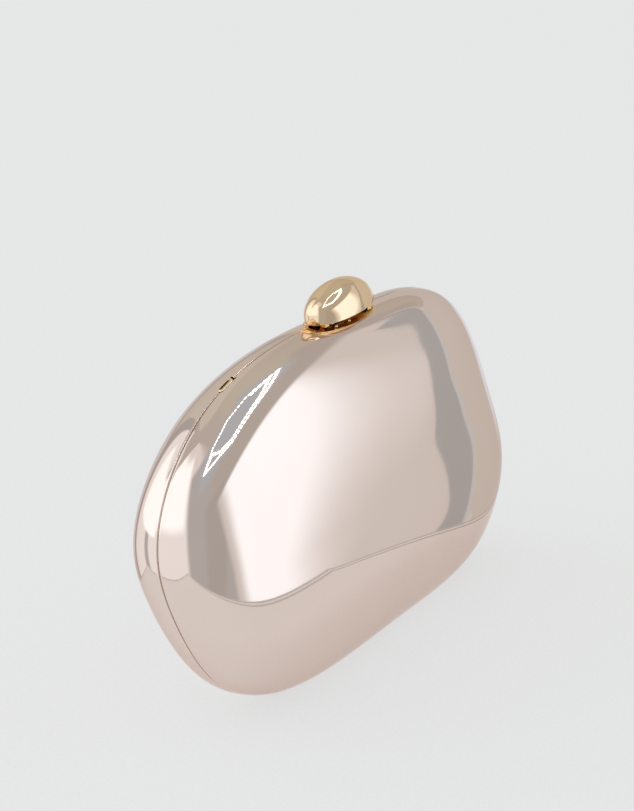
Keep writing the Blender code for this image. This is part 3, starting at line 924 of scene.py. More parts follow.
@dataclass
class Workshop:
    """What every sub-assembly needs: the form, its layout, the finishes and how a piece is handed over."""

    form: PebbleForm
    finishes: Finishes
    layout: Layout = Layout()

    def hand_over(self, item: bpy.types.Object, body: str, slot: str, node: str, finish: tuple = ()) -> None:
        """Dress a piece, hang it on its body and let it stand for its CAD node.

        Args:
            item: The finished piece.
            body: The body that it rides on.
            slot: The record's material slot of its finish.
            node: The CAD node that it stands for.
            finish: Finishes of the same metal to use instead, where parts of the piece take a darker gold as
                painted shade.
        """
        self.finishes.dress(item, *(finish or (slot,)))
        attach(item, body)
        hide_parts(node)
        LOG.info("%s: %d faces, on %s", item.name, len(item.data.polygons), body)


# Case


@dataclass
class Case:
    """Polished shells, rim frames and cloth liners of both halves."""

    shop: Workshop
    wall: float = 1.0 * MM
    lip: float = 0.30 * MM
    lip_steps: int = 5
    seam_ease: float = 0.10 * MM
    brim_inset: float = 0.38 * MM
    brim_reach: float = 0.20 * MM
    face_rings: int = 56
    inner_rings: int = 30
    lining_rings: int = 34
    lining_thickness: float = 0.8 * MM
    frame_steps: int = 6
    frame_depth: float = 7.0 * MM
    frame_thickness: float = 2.4 * MM
    hinge_length: float = 22 * MM
    recess_radius: float = 2.0 * MM
    groove_angle: float = 41.0
    seat_floor: float = 3.5 * MM
    seat_reach: float = 5.9 * MM
    seat_height: float = 10 * MM
    slot_half_length: float = 4.2 * MM
    slot_half_width: float = 0.8 * MM
    slot_depth: float = 2.3 * MM

    def lip_stations(self) -> list:
        """Work out the rings of the rounded edge beside the seam.

        Returns:
            The rings, from the face to the seam and into the shell.
        """
        form = self.shop.form
        rings = []
        for index in range(self.lip_steps + 1):
            turn = math.pi / 2 * index / self.lip_steps
            inset = self.lip * (1 - math.cos(turn))
            out = (self.lip + self.seam_ease) * (1 - math.sin(turn)) - self.seam_ease
            flat = form.station(inset, 0, 0.0)
            rings.append(Station(flat.wide, flat.tall, flat.out + out, 0.0))
        inner = form.station(self.wall, 0)
        return rings + [Station(inner.wide, inner.tall, inner.out - self.seam_ease, inner.floor)]

    def shell(self, half: Half) -> bpy.types.Object:
        """Model one polished shell.

        Args:
            half: The half that it covers.

        Returns:
            The finished shell.
        """
        form = self.shop.form
        rises = form.face_rises(self.lip * 2, self.face_rings)
        outer = [form.station(0, rise, 0.0) for rise in reversed(rises)]
        inner = [form.station(self.wall, rise) for rise in form.face_rises(self.lip * 2, self.inner_rings)]
        item = form.loft(f"{half.label}_shell_polished", half, outer + self.lip_stations() + inner, True)
        self.cut_common(item)
        return Bench.finish(item, 38)

    def frame(self, half: Half) -> bpy.types.Object:
        """Model the rim frame inside one half, with its thin brim that shows in the seam.

        Args:
            half: The half that it stiffens.

        Returns:
            The finished frame.
        """
        form = self.shop.form
        outer_inset = self.wall + self.shop.layout.gap
        inner_inset = outer_inset + self.frame_thickness
        shares = [self.frame_depth / form.half_depth * index / self.frame_steps
                  for index in range(self.frame_steps + 1)]
        rings = [form.station(outer_inset, share) for share in shares]
        rings += [form.station(inner_inset, share) for share in reversed(shares)]
        brim = form.station(self.brim_inset, 0)
        fold = [replace(ring, out=ring.out - lip) for ring, lip in (
            (rings[0], self.seam_ease), (rings[-1], self.brim_reach),
            (brim, self.brim_reach), (brim, self.seam_ease))]
        item = form.loft(f"{half.label}_frame_turned", half, [fold[0], *rings[1:-1], *fold[1:]], False)
        self.cut_common(item)
        for centre in self.shop.layout.hinges:
            reach = self.hinge_length / 2 + 2 * self.shop.layout.gap
            near, far = sorted((-half.value * MM, half.value * self.seat_reach))
            Bench.carve(item, Bench.brick("seat", (centre - reach, near, self.seat_floor),
                                          (centre + reach, far, self.seat_floor + self.seat_height)))
        return Bench.finish(item)

    def lining(self, half: Half) -> bpy.types.Object:
        """Model the cloth-covered liner of one half.

        Args:
            half: The half that it lines.

        Returns:
            The finished liner.
        """
        form = self.shop.form
        outer_inset = self.wall + self.shop.layout.gap
        inner_inset = outer_inset + self.lining_thickness
        rises = form.face_rises(self.frame_depth + 2 * self.shop.layout.gap, self.lining_rings)
        rings = [form.station(outer_inset, rise) for rise in reversed(rises)]
        rings += [form.station(inner_inset, rise) for rise in rises]
        return Bench.finish(form.loft(f"{half.label}_lining_cloth", half, rings, True))

    def cut_common(self, item: bpy.types.Object) -> None:
        """Cut the hinge groove, the hinge recesses and the chain slots.

        Args:
            item: A shell or a frame.
        """
        form, layout = self.shop.form, self.shop.layout
        depth = layout.hinge_height + MM
        groove = Bench.brick("groove", (-form.width / 2, -1, -MM), (form.width / 2, 1, layout.hinge_height))
        for vertex in groove.data.vertices:
            vertex.co.y *= depth * math.tan(math.radians(self.groove_angle)) if vertex.co.z < 0 else 0
        Bench.finish(groove)
        Bench.carve(item, groove)
        for centre in layout.hinges:
            reach = self.hinge_length / 2 + layout.gap
            start, end = ((x, 0, layout.hinge_height) for x in (centre - reach, centre + reach))
            Bench.carve(item, Bench.bar("recess", self.recess_radius, start, end, 48))
        for place in layout.chain_bars:
            Bench.carve(item, Bench.brick(
                "slot", (-self.slot_half_length, -self.slot_half_width, -self.slot_depth),
                (self.slot_half_length, self.slot_half_width, self.frame_thickness), form.frame_at(place)))

    def build(self) -> None:
        """Model both halves and hand their pieces over."""
        for half in Half:
            label, body = half.label, half.body
            self.shop.hand_over(self.shell(half), body, "shell", f"{label}_shell")
            self.shop.hand_over(self.frame(half), body, "frame", f"{label}_frame")
            self.shop.hand_over(self.lining(half), body, "lining", f"{label}_lining")


# Clasp


@dataclass
class Clasp:
    """Egg knob, its plates and the coil spring under it."""

    shop: Workshop
    knob_middle: tuple = (-3.8 * MM, -1.7 * MM)
    knob_half_length: float = 17.5 * MM
    knob_half_width: float = 6.6 * MM
    knob_rise: float = 8.2 * MM
    knob_centre: float = 2.6 * MM
    knob_foot: tuple = (0.30 * MM, 3.10 * MM)
    knob_edge: float = 0.25 * MM
    knob_sides: tuple = (112, 64)
    pocket_half_length: float = 15.2 * MM
    pocket_half_width: float = 5.6 * MM
    pocket_top: float = 3.5 * MM
    plate_middle: float = -5.2 * MM
    plate_half_length: float = 20.0 * MM
    catch_half_length: float = 12.5 * MM
    plate_front: float = 6.5 * MM
    plate_back: float = 4.2 * MM
    plate_squareness: float = 0.55
    plate_thickness: float = 0.45 * MM
    plate_edge: float = 0.16 * MM
    plate_lift: float = 0.03 * MM
    rim_width: float = 0.42 * MM
    sunk_depth: float = 0.20 * MM
    sunk_share: float = 0.93
    sunk_upright: float = 0.55
    seam_side: float = 0.55 * MM
    axle_forward: float = 3.9 * MM
    axle_height: float = 0.9 * MM
    axle_radius: float = 0.45 * MM
    axle_edge: float = 0.15 * MM
    axle_ease: float = 0.1 * MM
    ear_radius: float = 0.70 * MM
    ear_length: float = 2.4 * MM
    ear_foot: float = 1.2 * MM
    ear_starts: tuple = (-18.2 * MM, 8.4 * MM)
    lever_half_length: float = 12.0 * MM
    lever_half_width: float = 5.1 * MM
    lever_low: float = 2.2 * MM
    lever_high: float = 3.2 * MM
    web_share: float = 0.8
    web_half_width: float = 0.4 * MM
    screw_places: tuple = (-6.2 * MM, 6.2 * MM)
    screw_back: float = 1.5 * MM
    screw_head: float = 1.5 * MM
    screw_sink: float = 0.6 * MM
    nose_low: tuple = (-9.8 * MM, 2.4 * MM, 1.25 * MM)
    nose_high: tuple = (2.2 * MM, 3.0 * MM, 2.7 * MM)
    lip_low: tuple = (-11.8 * MM, 1.4 * MM, 0.4 * MM)
    lip_high: tuple = (4.2 * MM, 2.0 * MM, 1.9 * MM)
    lip_edge: float = 0.12 * MM
    spring_left: float = -12.0 * MM
    spring_length: float = 6.4 * MM
    spring_wire: float = 0.35 * MM
    spring_turns: int = 9

    @property
    def seat(self) -> Matrix:
        """The clasp's local frame on top of the seam."""
        return self.shop.form.frame_at(self.shop.layout.clasp)

    def rod(self, name: str, radius: float, start: float, end: float, sides: int) -> bpy.types.Object:
        """A round bar on the axle's line, in the clasp's local frame.

        Args:
            name: The bar's name.
            radius: Its radius.
            start: Where it starts along the line.
            end: Where it ends.
            sides: How many sides its section has.

        Returns:
            The bar.
        """
        front, height = -self.axle_forward, self.axle_height
        return Bench.bar(name, radius, (start, front, height), (end, front, height), sides)

    def knob(self) -> bpy.types.Object:
        """Model the egg knob, hollow below for its lever.

        Returns:
            The finished knob.
        """
        x, y = self.knob_middle
        left, right = self.knob_foot
        lean = (right - left) / (2 * self.knob_half_length)
        item = Bench.egg("clasp_knob_polished", (x, y, self.knob_centre),
                         (self.knob_half_length, self.knob_half_width, self.knob_rise), *self.knob_sides)
        Bench.trim(item, (x, 0, (left + right) / 2), (-lean, 0, 1), True)
        Bench.soften(item, self.knob_edge)
        Bench.carve(item, Bench.oval("pocket", (x, y, self.pocket_top / 2), (
            self.pocket_half_length, self.pocket_half_width, self.pocket_top)))
        return Bench.settle(Bench.finish(item, 40), self.seat)

    def plate(self, half: Half, columns: int = 96, rows: int = 12) -> bpy.types.Object:
        """Model one crescent plate that hugs the case's shoulder beside the seam.

        Args:
            half: The half that the plate lies on.
            columns: Faces along the plate.
            rows: Faces across it.

        Returns:
            The plate in the clutch's frame, before its other parts are joined on.
        """
        side = half.value
        outer = self.plate_front if half is Half.FRONT else self.plate_back
        half_length = self.plate_half_length if half is Half.FRONT else self.catch_half_length
        near = self.seam_side + self.plate_thickness
        Bench.clear()
        bpy.ops.mesh.primitive_grid_add(x_subdivisions=columns, y_subdivisions=rows, size=2)
        item = Bench.take(f"clasp_{'base' if half is Half.FRONT else 'catch'}_plate_bevelled")
        for vertex in item.data.vertices:
            turn = math.acos(max(-1.0, min(1.0, vertex.co.x)))
            edge = near + (outer - near) * math.sin(turn) ** self.plate_squareness
            x = self.shop.layout.clasp + self.plate_middle + half_length * math.cos(turn)
            y = side * (self.seam_side + (edge - self.seam_side) * (vertex.co.y + 1) / 2)
            vertex.co = self.shop.form.seat(x, y, self.plate_lift).translation
        Bench.merge(item, 1e-6)
        upright = sum(face.normal.z for face in item.data.polygons) > 0
        thick = item.modifiers.new("thick", "SOLIDIFY")
        thick.thickness = self.plate_thickness
        thick.offset = 1 if upright else -1
        bpy.ops.object.modifier_apply(modifier=thick.name)
        self.sink(item)
        Bench.soften(item, self.plate_edge)
        return item

    def sink(self, item: bpy.types.Object) -> None:
        """Sink the middle of a plate's upper face inside a raised rim, and give it the darker gold that
        paints the shade under the knob.

        Args:
            item: The plate, in the clutch's frame.
        """
        middle, reach = self.shop.layout.clasp + self.plate_middle, self.sunk_share * self.plate_half_length
        bpy.ops.object.mode_set(mode="EDIT")
        bpy.ops.mesh.select_mode(type="FACE")
        bpy.ops.mesh.select_all(action="DESELECT")
        bpy.ops.object.mode_set(mode="OBJECT")
        for face in item.data.polygons:
            face.select = face.normal.z > self.sunk_upright and abs(face.center.x - middle) < reach
        bpy.ops.object.mode_set(mode="EDIT")
        bpy.ops.mesh.inset(thickness=self.rim_width, depth=-self.sunk_depth)
        bpy.ops.object.mode_set(mode="OBJECT")
        # The sunk middle takes the darker gold: painted shade under the knob.
        for slot in ("clasp", "clasp_inner"):
            item.data.materials.append(self.shop.finishes.get(slot))
        for face in item.data.polygons:
            face.material_index = int(face.select)
        bpy.ops.object.mode_set(mode="EDIT")
        bpy.ops.mesh.select_mode(type="VERT")
        bpy.ops.object.mode_set(mode="OBJECT")

    def base_plate(self) -> bpy.types.Object:
        """Model the front plate with both ears for the axle.

        Returns:
            The finished plate.
        """
        item = self.plate(Half.FRONT)
        front, height = -self.axle_forward, self.axle_height
        for start in self.ear_starts:
            end = start + self.ear_length
            ear = self.rod("ear", self.ear_radius, start, end, 40)
            foot = Bench.brick("foot", (start, front - self.ear_radius, height - self.ear_foot),
                               (end, front + self.ear_radius, height))
            Bench.carve(ear, foot, Carving.JOIN)
            Bench.carve(item, Bench.settle(ear, self.seat), Carving.JOIN)
        return Bench.finish(item, 34)

    def axle(self) -> bpy.types.Object:
        """Model the axle between the ears, with rounded ends.

        Returns:
            The finished axle.
        """
        gap = self.shop.layout.gap
        item = self.rod("clasp_axle_turned", self.axle_radius, self.ear_starts[0] - gap,
                        self.ear_starts[1] + self.ear_length + gap, 28)
        Bench.soften(item, self.axle_edge)
        return Bench.settle(Bench.finish(item, 50), self.seat)

    def lever(self) -> bpy.types.Object:
        """Model the rocking lever: an oval plate, barrels on the axle and the nose behind.

        Returns:
            The finished lever.
        """
        x, y = self.knob_middle
        front, height, gap = -self.axle_forward, self.axle_height, self.shop.layout.gap
        item = Bench.oval("clasp_lever_milled", (x, y, (self.lever_low + self.lever_high) / 2), (
            self.lever_half_length, self.lever_half_width, self.lever_high - self.lever_low))
        Bench.carve(item, Bench.brick("nose", self.nose_low, self.nose_high), Carving.JOIN)
        spans = ((self.ear_starts[0] + self.ear_length + gap, self.spring_left - gap),
                 (self.spring_left + self.spring_length + gap, self.ear_starts[1] - gap))
        web_reach, web_half = self.web_share * self.lever_half_length, self.web_half_width
        for start, end in spans:
            barrel = self.rod("barrel", self.ear_radius, start, end, 32)
            web = Bench.brick("web", (max(start, x - web_reach), front - web_half, height),
                              (min(end, x + web_reach), front + web_half, self.lever_low + web_half))
            Bench.carve(barrel, web, Carving.JOIN)
            Bench.carve(item, barrel, Carving.JOIN)
        Bench.carve(item, self.rod("bore", self.axle_radius + self.axle_ease, spans[0][0] - MM,
                                   spans[1][1] + MM, 28))
        for along in self.screw_places:
            seat = (x + along, y + self.screw_back)
            Bench.carve(item, Bench.bar("hole", self.screw_head, (*seat, self.lever_low - MM),
                                        (*seat, self.lever_low + self.screw_sink), 32))
        return Bench.settle(Bench.finish(item, 34), self.seat)

    def catch_plate(self) -> bpy.types.Object:
        """Model the back plate with the upright lip that the lever's nose hooks behind.

        Returns:
            The finished plate.
        """
        item = self.plate(Half.BACK)
        lip = Bench.brick("lip", self.lip_low, self.lip_high)
        Bench.soften(lip, self.lip_edge, 2)
        Bench.carve(item, Bench.settle(lip, self.seat), Carving.JOIN)
        return Bench.finish(item, 34)

    def spring(self) -> bpy.types.Object:
        """Model the coil spring round the axle.

        Returns:
            The finished spring.
        """
        wire = self.spring_wire / 2
        Bench.clear()
        bpy.ops.mesh.primitive_circle_add(vertices=12, radius=wire, rotation=(math.pi / 2, 0, 0),
                                          location=(self.axle_radius + self.shop.layout.gap + wire, 0, 0))
        item = Bench.take("clasp_spring_coil")
        coil = item.modifiers.new("coil", "SCREW")
        coil.angle = math.tau * self.spring_turns
        coil.screw_offset = self.spring_length - 2 * wire
        coil.steps = coil.render_steps = 24 * self.spring_turns
        coil.use_merge_vertices = False
        bpy.ops.object.modifier_apply(modifier=coil.name)
        bpy.ops.object.mode_set(mode="EDIT")
        bpy.ops.mesh.select_all(action="SELECT")
        bpy.ops.mesh.select_non_manifold(extend=False)
        bpy.ops.mesh.edge_face_add()
        bpy.ops.object.mode_set(mode="OBJECT")
        start = (self.spring_left + wire, -self.axle_forward, self.axle_height)
        return Bench.settle(Bench.finish(item, 60), self.seat @ Matrix.Translation(start)
                            @ Matrix.Rotation(math.pi / 2, 4, "Y"))

    def build(self) -> None:
        """Model the clasp's pieces and hand them over."""
        # The lever, the axle and the plates' sunk middles take the darker gold: painted shade under the
        # knob.
        wear_and_shade, both = ("clasp_inner",), ("clasp", "clasp_inner")
        front, back = Half.FRONT.body, Half.BACK.body
        self.shop.hand_over(self.knob(), "clasp", "knob", "clasp_knob")
        self.shop.hand_over(self.base_plate(), front, "clasp", "clasp_base_plate", both)
        self.shop.hand_over(self.axle(), front, "clasp", "clasp_axle", wear_and_shade)
        self.shop.hand_over(self.lever(), "clasp", "clasp", "clasp_lever", wear_and_shade)
        self.shop.hand_over(self.catch_plate(), back, "clasp", "clasp_catch_plate", both)
        self.shop.hand_over(self.spring(), front, "spring", "clasp_spring")


@dataclass(frozen=True)
class RivetSize:
    """Head radius, head height, shank radius and shank depth of a rivet."""

    head: float
    rise: float
    shank: float
    depth: float


@dataclass
class Rivets:
    """Domed rivets: one of each size is modelled, and copied to every place of that size."""

    shop: Workshop
    clasp: RivetSize = RivetSize(0.55 * MM, 0.4 * MM, 0.35 * MM, 1.8 * MM)
    leaf: RivetSize = RivetSize(1.1 * MM, 0.6 * MM, 0.5 * MM, 2.0 * MM)
    base_places: tuple = (-13.2 * MM, -5.2 * MM)
    base_forward: float = 5.15 * MM
    catch_places: tuple = (-12.9 * MM, 5.3 * MM)
    catch_back: float = 2.4 * MM
    clasp_lift: float = 0.48 * MM
    leaf_spacing: float = 12 * MM
    leaf_setback: float = 3.9 * MM
    leaf_height: float = 4.6 * MM
    head_sides: tuple = (32, 24)
    shank_sides: int = 20
    cut_near: float = 0.001 * MM

    def model(self, size: RivetSize, name: str) -> bpy.types.Object:
        """Model one rivet, head up, with the underside of its head at the origin.

        Args:
            size: The rivet's size.
            name: Its name.

        Returns:
            The rivet.
        """
        item = Bench.egg(name, (0, 0, 0), (size.head, size.head, size.rise), *self.head_sides)
        Bench.trim(item, (0, 0, 0), UP, True, self.cut_near)
        shank = Bench.bar("shank", size.shank, (0, 0, -size.depth), (0, 0, size.rise / 2), self.shank_sides)
        Bench.carve(item, shank, Carving.JOIN)
        return Bench.finish(item, 40)

    def row(self, model: bpy.types.Object, prefix: str, body: str, slot: str, seats: list) -> None:
        """Copy a rivet to its places and hand the copies over.

        Args:
            model: The rivet to copy.
            prefix: Start of the names of the CAD rivets that the copies stand for.
            body: The body that they ride on.
            slot: The record's material slot of their finish.
            seats: A frame for each copy.
        """
        for index, seat in enumerate(seats, start=1):
            rivet = Bench.repeat(model, f"{prefix}_{index}_domed", seat)
            self.shop.hand_over(rivet, body, slot, f"{prefix}_{index}")

    def build(self) -> None:
        """Put a smooth rivet in the place of every CAD rivet."""
        form, layout = self.shop.form, self.shop.layout
        model = self.model(self.leaf, "leaf_rivet")
        for side, centre in zip(layout.sides, layout.hinges):
            for half in Half:
                y = half.value * self.leaf_setback
                seats = [Matrix.Translation((centre + along, y, self.leaf_height))
                         for along in (-self.leaf_spacing / 2, self.leaf_spacing / 2)]
                self.row(model, f"{side}_hinge_{half.label}_leaf_rivet", half.body, "hinge", seats)
        bpy.data.objects.remove(model)
        model = self.model(self.clasp, "clasp_rivet")
        for prefix, half, places, y in (
                ("clasp_base_rivet", Half.FRONT, self.base_places, -self.base_forward),
                ("clasp_catch_rivet", Half.BACK, self.catch_places, self.catch_back)):
            seats = [form.seat(layout.clasp + x, y, self.clasp_lift) for x in places]
            self.row(model, prefix, half.body, "clasp", seats)
        bpy.data.objects.remove(model)


@dataclass
class ChainBars:
    """Bent bars in the seam's slots, one near each shoulder of the case."""

    shop: Workshop
    length: float = 6.4 * MM
    radius: float = 0.5 * MM
    bend: float = 0.8 * MM
    bend_steps: int = 6
    depth: float = 0.55 * MM
    foot_depth: float = 2.9 * MM
    leg_end: float = 2.2 * MM

    def bar(self, name: str, x: float) -> bpy.types.Object:
        """Bend one bar: two legs in the back frame, a bow across the slot.

        Args:
            name: The bar's name.
            x: Its place along the seam.

        Returns:
            The finished bar.
        """
        half, bend = self.length / 2, self.bend
        turns = [math.pi / 2 * step / self.bend_steps for step in range(self.bend_steps + 1)]
        route = [(-half, self.leg_end, -self.foot_depth), (-half, self.leg_end / 2, -self.foot_depth)]
        for corner in (-1, 1):
            bow = [(corner * (half - bend * (1 - math.sin(turn))), bend * (1 - math.cos(turn)), -self.depth)
                   for turn in turns]
            route += list(reversed(bow)) if corner < 0 else bow
        route += [(half, self.leg_end / 2, -self.foot_depth), (half, self.leg_end, -self.foot_depth)]
        path = bpy.data.curves.new(name, "CURVE")
        path.dimensions, path.bevel_depth, path.bevel_resolution = "3D", self.radius, 6
        path.use_fill_caps = True
        spline = path.splines.new("POLY")
        spline.points.add(len(route) - 1)
        for point, spot in zip(spline.points, route):
            point.co = (*spot, 1)
        item = bpy.data.objects.new(name, path)
        bpy.context.scene.collection.objects.link(item)
        Bench.pick(item)
        bpy.ops.object.convert(target="MESH")
        return Bench.settle(Bench.finish(item, 50), self.shop.form.frame_at(x))

    def build(self) -> None:
        """Bend both bars and hand them over."""
        for side, x in zip(self.shop.layout.sides, self.shop.layout.chain_bars):
            node = f"{side}_chain_bar"
            self.shop.hand_over(self.bar(f"{node}_bent", x), Half.BACK.body, "chain_bar", node)


@dataclass
class Hardware:
    """Small CAD pieces whose shape is right and that only get their finish."""

    shop: Workshop
    nodes: dict

    def build(self, record: dict) -> None:
        """Dress every CAD node that still shows.

        Args:
            record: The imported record, which says each node's material slot.
        """
        slots = {entry["node"]: entry["material_slot"] for entry in record["subparts"]}
        for name, item in self.nodes.items():
            for slot in item.material_slots:
                slot.material = self.shop.finishes.get(slots[name])
        LOG.info("dressed %d CAD nodes", len(self.nodes))


# Studio


@dataclass(frozen=True)
class Patch:
    """A soft patch of light or shade round the clutch, in degrees from the front and above the horizon."""

    colour: tuple
    left: float
    right: float
    bottom: float
    top: float
    soft: tuple = (4.0, 4.0, 4.0, 4.0)
    tilt: float = 0.0
    lean: float = 0.0


@dataclass(frozen=True)
class Lamp:
    """A rounded lamp at the right: middle and half sizes in degrees, squareness, soft edge and colour."""

    middle: tuple = (93.5, -3.5)
    half: tuple = (28.5, 22.5)
    power: float = 3.0
    edge: float = 0.985
    colour: tuple = (0.71, 0.71, 0.69)


@dataclass
class Sky:
    """Node tree that paints the soft light round the clutch."""

    nodes: Nodes
    ground: tuple = (0.53, 0.545, 0.55)
    lamp: Lamp = Lamp()
    behind: tuple = (
        Patch((0.57, 0.55, 0.53), -180, 180, 62, 95, (0, 0, 8, 0)),
        Patch((0.88, 0.88, 0.88), 222, 342, 62, 95, (10, 30, 8, 0)),
        Patch((0.60, 0.59, 0.52), 62, 150, 22, 64, (20, 8, 8, 8)),
        Patch((0.54, 0.525, 0.505), 12, 84, 19, 30, (10, 8, 3, 4), 0.1),
        Patch((0.52, 0.585, 0.65), -6, 70, 35, 54, (12, 8, 6, 6)),
        Patch((0.49, 0.49, 0.485), 2, 20, -40, 14, (8, 5, 6, 6)),
        Patch((0.78, 0.79, 0.79), 21.5, 76, -70, 17, (6, 4, 1, 3.0), 0.2, 0.43),
        Patch((1.30, 1.42, 1.54), 30, 54, -70, 16, (9, 10.5, 1, 3.0), 0.2, 0.43),
        Patch((1.00, 1.03, 1.06), 222, 316, -60, 66, (8, 12, 6, 16)),
        Patch((1.35, 1.42, 1.50), 222, 308, 24, 70, (8, 14, 18, 12)),
    )
    front: tuple = (
        Patch((0.90, 1.02, 1.16), 95, 112, -13, -4, (5, 4, 4, 5)),
        Patch((0.72, 0.70, 0.70), 100, 150, -60, -18, (10, 6, 4, 6)),
        Patch((0.69, 0.68, 0.62), 118, 149, 16, 70, (6, 4, 5, 8)),
        Patch((0.78, 0.80, 0.84), 124, 146, -18, 4, (4, 3, 4, 5)),
        Patch((0.50, 0.50, 0.50), 149, 157, -40, 60, (2, 2, 6, 8)),
        Patch((1.00, 1.03, 1.05), 160, 200, -40, 60, (3, 8, 6, 8)),
        Patch((1.34, 1.42, 1.48), 176, 234, 6, 46, (8, 8, 5, 8)),
    )

    def mask(self, turn: bpy.types.NodeSocket, rise: bpy.types.NodeSocket,
             patch: Patch) -> bpy.types.NodeSocket:
        """How much of a direction lies inside a patch.

        Args:
            turn: Degrees round from the front.
            rise: Degrees above the horizon.
            patch: The patch.

        Returns:
            A number from 0 outside to 1 inside.
        """
        nodes = self.nodes
        middle, half = (patch.left + patch.right) / 2, (patch.right - patch.left) / 2
        aside = nodes.math("WRAP", nodes.math("SUBTRACT", turn, middle), 180.0, -180.0)
        level, leaning = rise, aside
        if patch.tilt:
            level = nodes.math("SUBTRACT", rise, nodes.math("MULTIPLY", aside, patch.tilt))
        if patch.lean:
            leaning = nodes.math("ADD", aside, nodes.math("MULTIPLY", rise, patch.lean))
        left, right, bottom, top = patch.soft
        sides = (nodes.ramp(leaning, -half - left, -half) if left else 1.0,
                 nodes.ramp(aside, half, half + right, 1, 0) if right else 1.0,
                 nodes.ramp(level, patch.bottom - bottom, patch.bottom) if bottom else 1.0,
                 nodes.ramp(level, patch.top, patch.top + top, 1, 0) if top else 1.0)
        result = 1.0
        for side in sides:
            result = nodes.math("MULTIPLY", result, side)
        return result

    def paint(self) -> bpy.types.NodeSocket:
        """Lay the patches over each other.

        Returns:
            The colour of the light from each direction.
        """
        nodes, lamp = self.nodes, self.lamp
        way = nodes.add("ShaderNodeVectorMath", operation="NORMALIZE")
        nodes.link(nodes.place(), way.inputs[0])
        x, y, z = nodes.parts(way.outputs[0])
        degrees = 180 / math.pi
        rise = nodes.math("MULTIPLY", nodes.math("ARCSINE", z), degrees)
        turn = nodes.math("MULTIPLY", nodes.math("ARCTAN2", x, nodes.math("MULTIPLY", y, -1.0)), degrees)
        colour = (*self.ground, 1.0)
        for patch in self.behind:
            colour = nodes.blend(self.mask(turn, rise, patch), colour, (*patch.colour, 1.0))
        away = []
        for value, middle, half in zip((turn, rise), lamp.middle, lamp.half):
            aside = nodes.math("WRAP", nodes.math("SUBTRACT", value, middle), 180.0, -180.0)
            share = nodes.math("DIVIDE", nodes.math("ABSOLUTE", aside), half)
            away.append(nodes.math("POWER", share, lamp.power))
        ring = nodes.math("POWER", nodes.math("ADD", *away), 1 / lamp.power)
        colour = nodes.blend(nodes.ramp(ring, lamp.edge, 1.0, 1, 0), colour, (*lamp.colour, 1.0))
        for patch in self.front:
            colour = nodes.blend(self.mask(turn, rise, patch), colour, (*patch.colour, 1.0))
        return colour


@dataclass(frozen=True)
class Around:
    """Places round the clutch, at one distance from its middle."""

    distance: float = 1.6
    centre: tuple = (-30 * MM, -10 * MM, 80 * MM)

    def spot(self, turn: float, rise: float) -> Vector:
        """The place at some degrees round from the front and some degrees above the horizon."""
        return Vector(self.centre) + toward(turn, rise) * self.distance

    @staticmethod
    def glow(name: str, colour: tuple, strength: float = 1.0) -> bpy.types.Material:
        """A material that shines in one colour.

        Args:
            name: The material's name.
            colour: Its colour.
            strength: How strongly it shines.

        Returns:
            The material.
        """
        material, nodes = Nodes.for_material(name)
        nodes.surface(nodes.add("ShaderNodeEmission", Color=(*colour, 1), Strength=strength))
        return material

    @staticmethod
    def show(item: bpy.types.Object) -> None:
        """Put a thing on the stage so that only polished faces see it."""
        item.visible_camera = item.visible_diffuse = item.visible_shadow = False


@dataclass
class Stand:
    """A grey stand with a pale edge beside the lamp at the right, made of glowing strips that only polished
    faces see: a painted reflection, with the pale edge as a painted highlight.
    """

    around: Around = Around()
    inner: tuple = ((73.0, 18.5), (71.4, 16.3), (67.8, 11.6), (65.2, 6.5), (63.5, 1.7), (63.1, -8.2),
                    (65.3, -13.5), (66.9, -16.3), (67.8, -18.6), (70.9, -23.4), (72.0, -30.0))
    outer: tuple = ((82.0, 22.5), (80.0, 19.5), (71.8, 13.6), (68.2, 7.0), (66.2, 1.0), (66.5, -8.6),
                    (70.5, -12.8), (72.2, -15.0), (71.9, -18.4), (74.4, -23.8), (77.0, -30.0))
    rim: tuple = (1.0, 0.35)
    steps: int = 6
    # Glow colours of the strips: the stand's painted reflection and its edge's painted highlight.
    colour: tuple = (0.49, 0.53, 0.555)
    pale: tuple = (0.68, 0.73, 0.77)

    def smooth(self, line: tuple) -> list:
        """Round off a line of places, so that its corners don't show."""
        return curve_near((line[0], *line, line[-1]), self.steps)

    def strip(self, name: str, left: tuple, right: tuple, colour: tuple) -> None:
        """Model one strip between two lines of places, glowing in its colour as part of the painted
        reflection.

        Args:
            name: The strip's name.
            left: Degrees round and above the horizon, along its left edge.
            right: The same along its right edge.
            colour: Its colour.
        """
        left, right = self.smooth(left), self.smooth(right)
        Bench.clear()
        bpy.ops.mesh.primitive_grid_add(x_subdivisions=1, y_subdivisions=len(left) - 1, size=2)
        item = Bench.take(name)
        for vertex in item.data.vertices:
            row = round((vertex.co.y + 1) / 2 * (len(left) - 1))
            vertex.co = self.around.spot(*(left if vertex.co.x < 0 else right)[row])
        item.data.materials.append(self.around.glow(name, colour))
        self.around.show(item)

    def build(self) -> None:
        """Model the stand and its pale edge as glowing strips: a painted reflection, and a painted highlight
        along the edge.
        """
        edge = tuple((turn + self.rim[0], rise + self.rim[1]) for turn, rise in self.outer)
        self.strip("stand", self.inner, self.outer, self.colour)
        self.strip("stand_edge", self.outer, edge, self.pale)


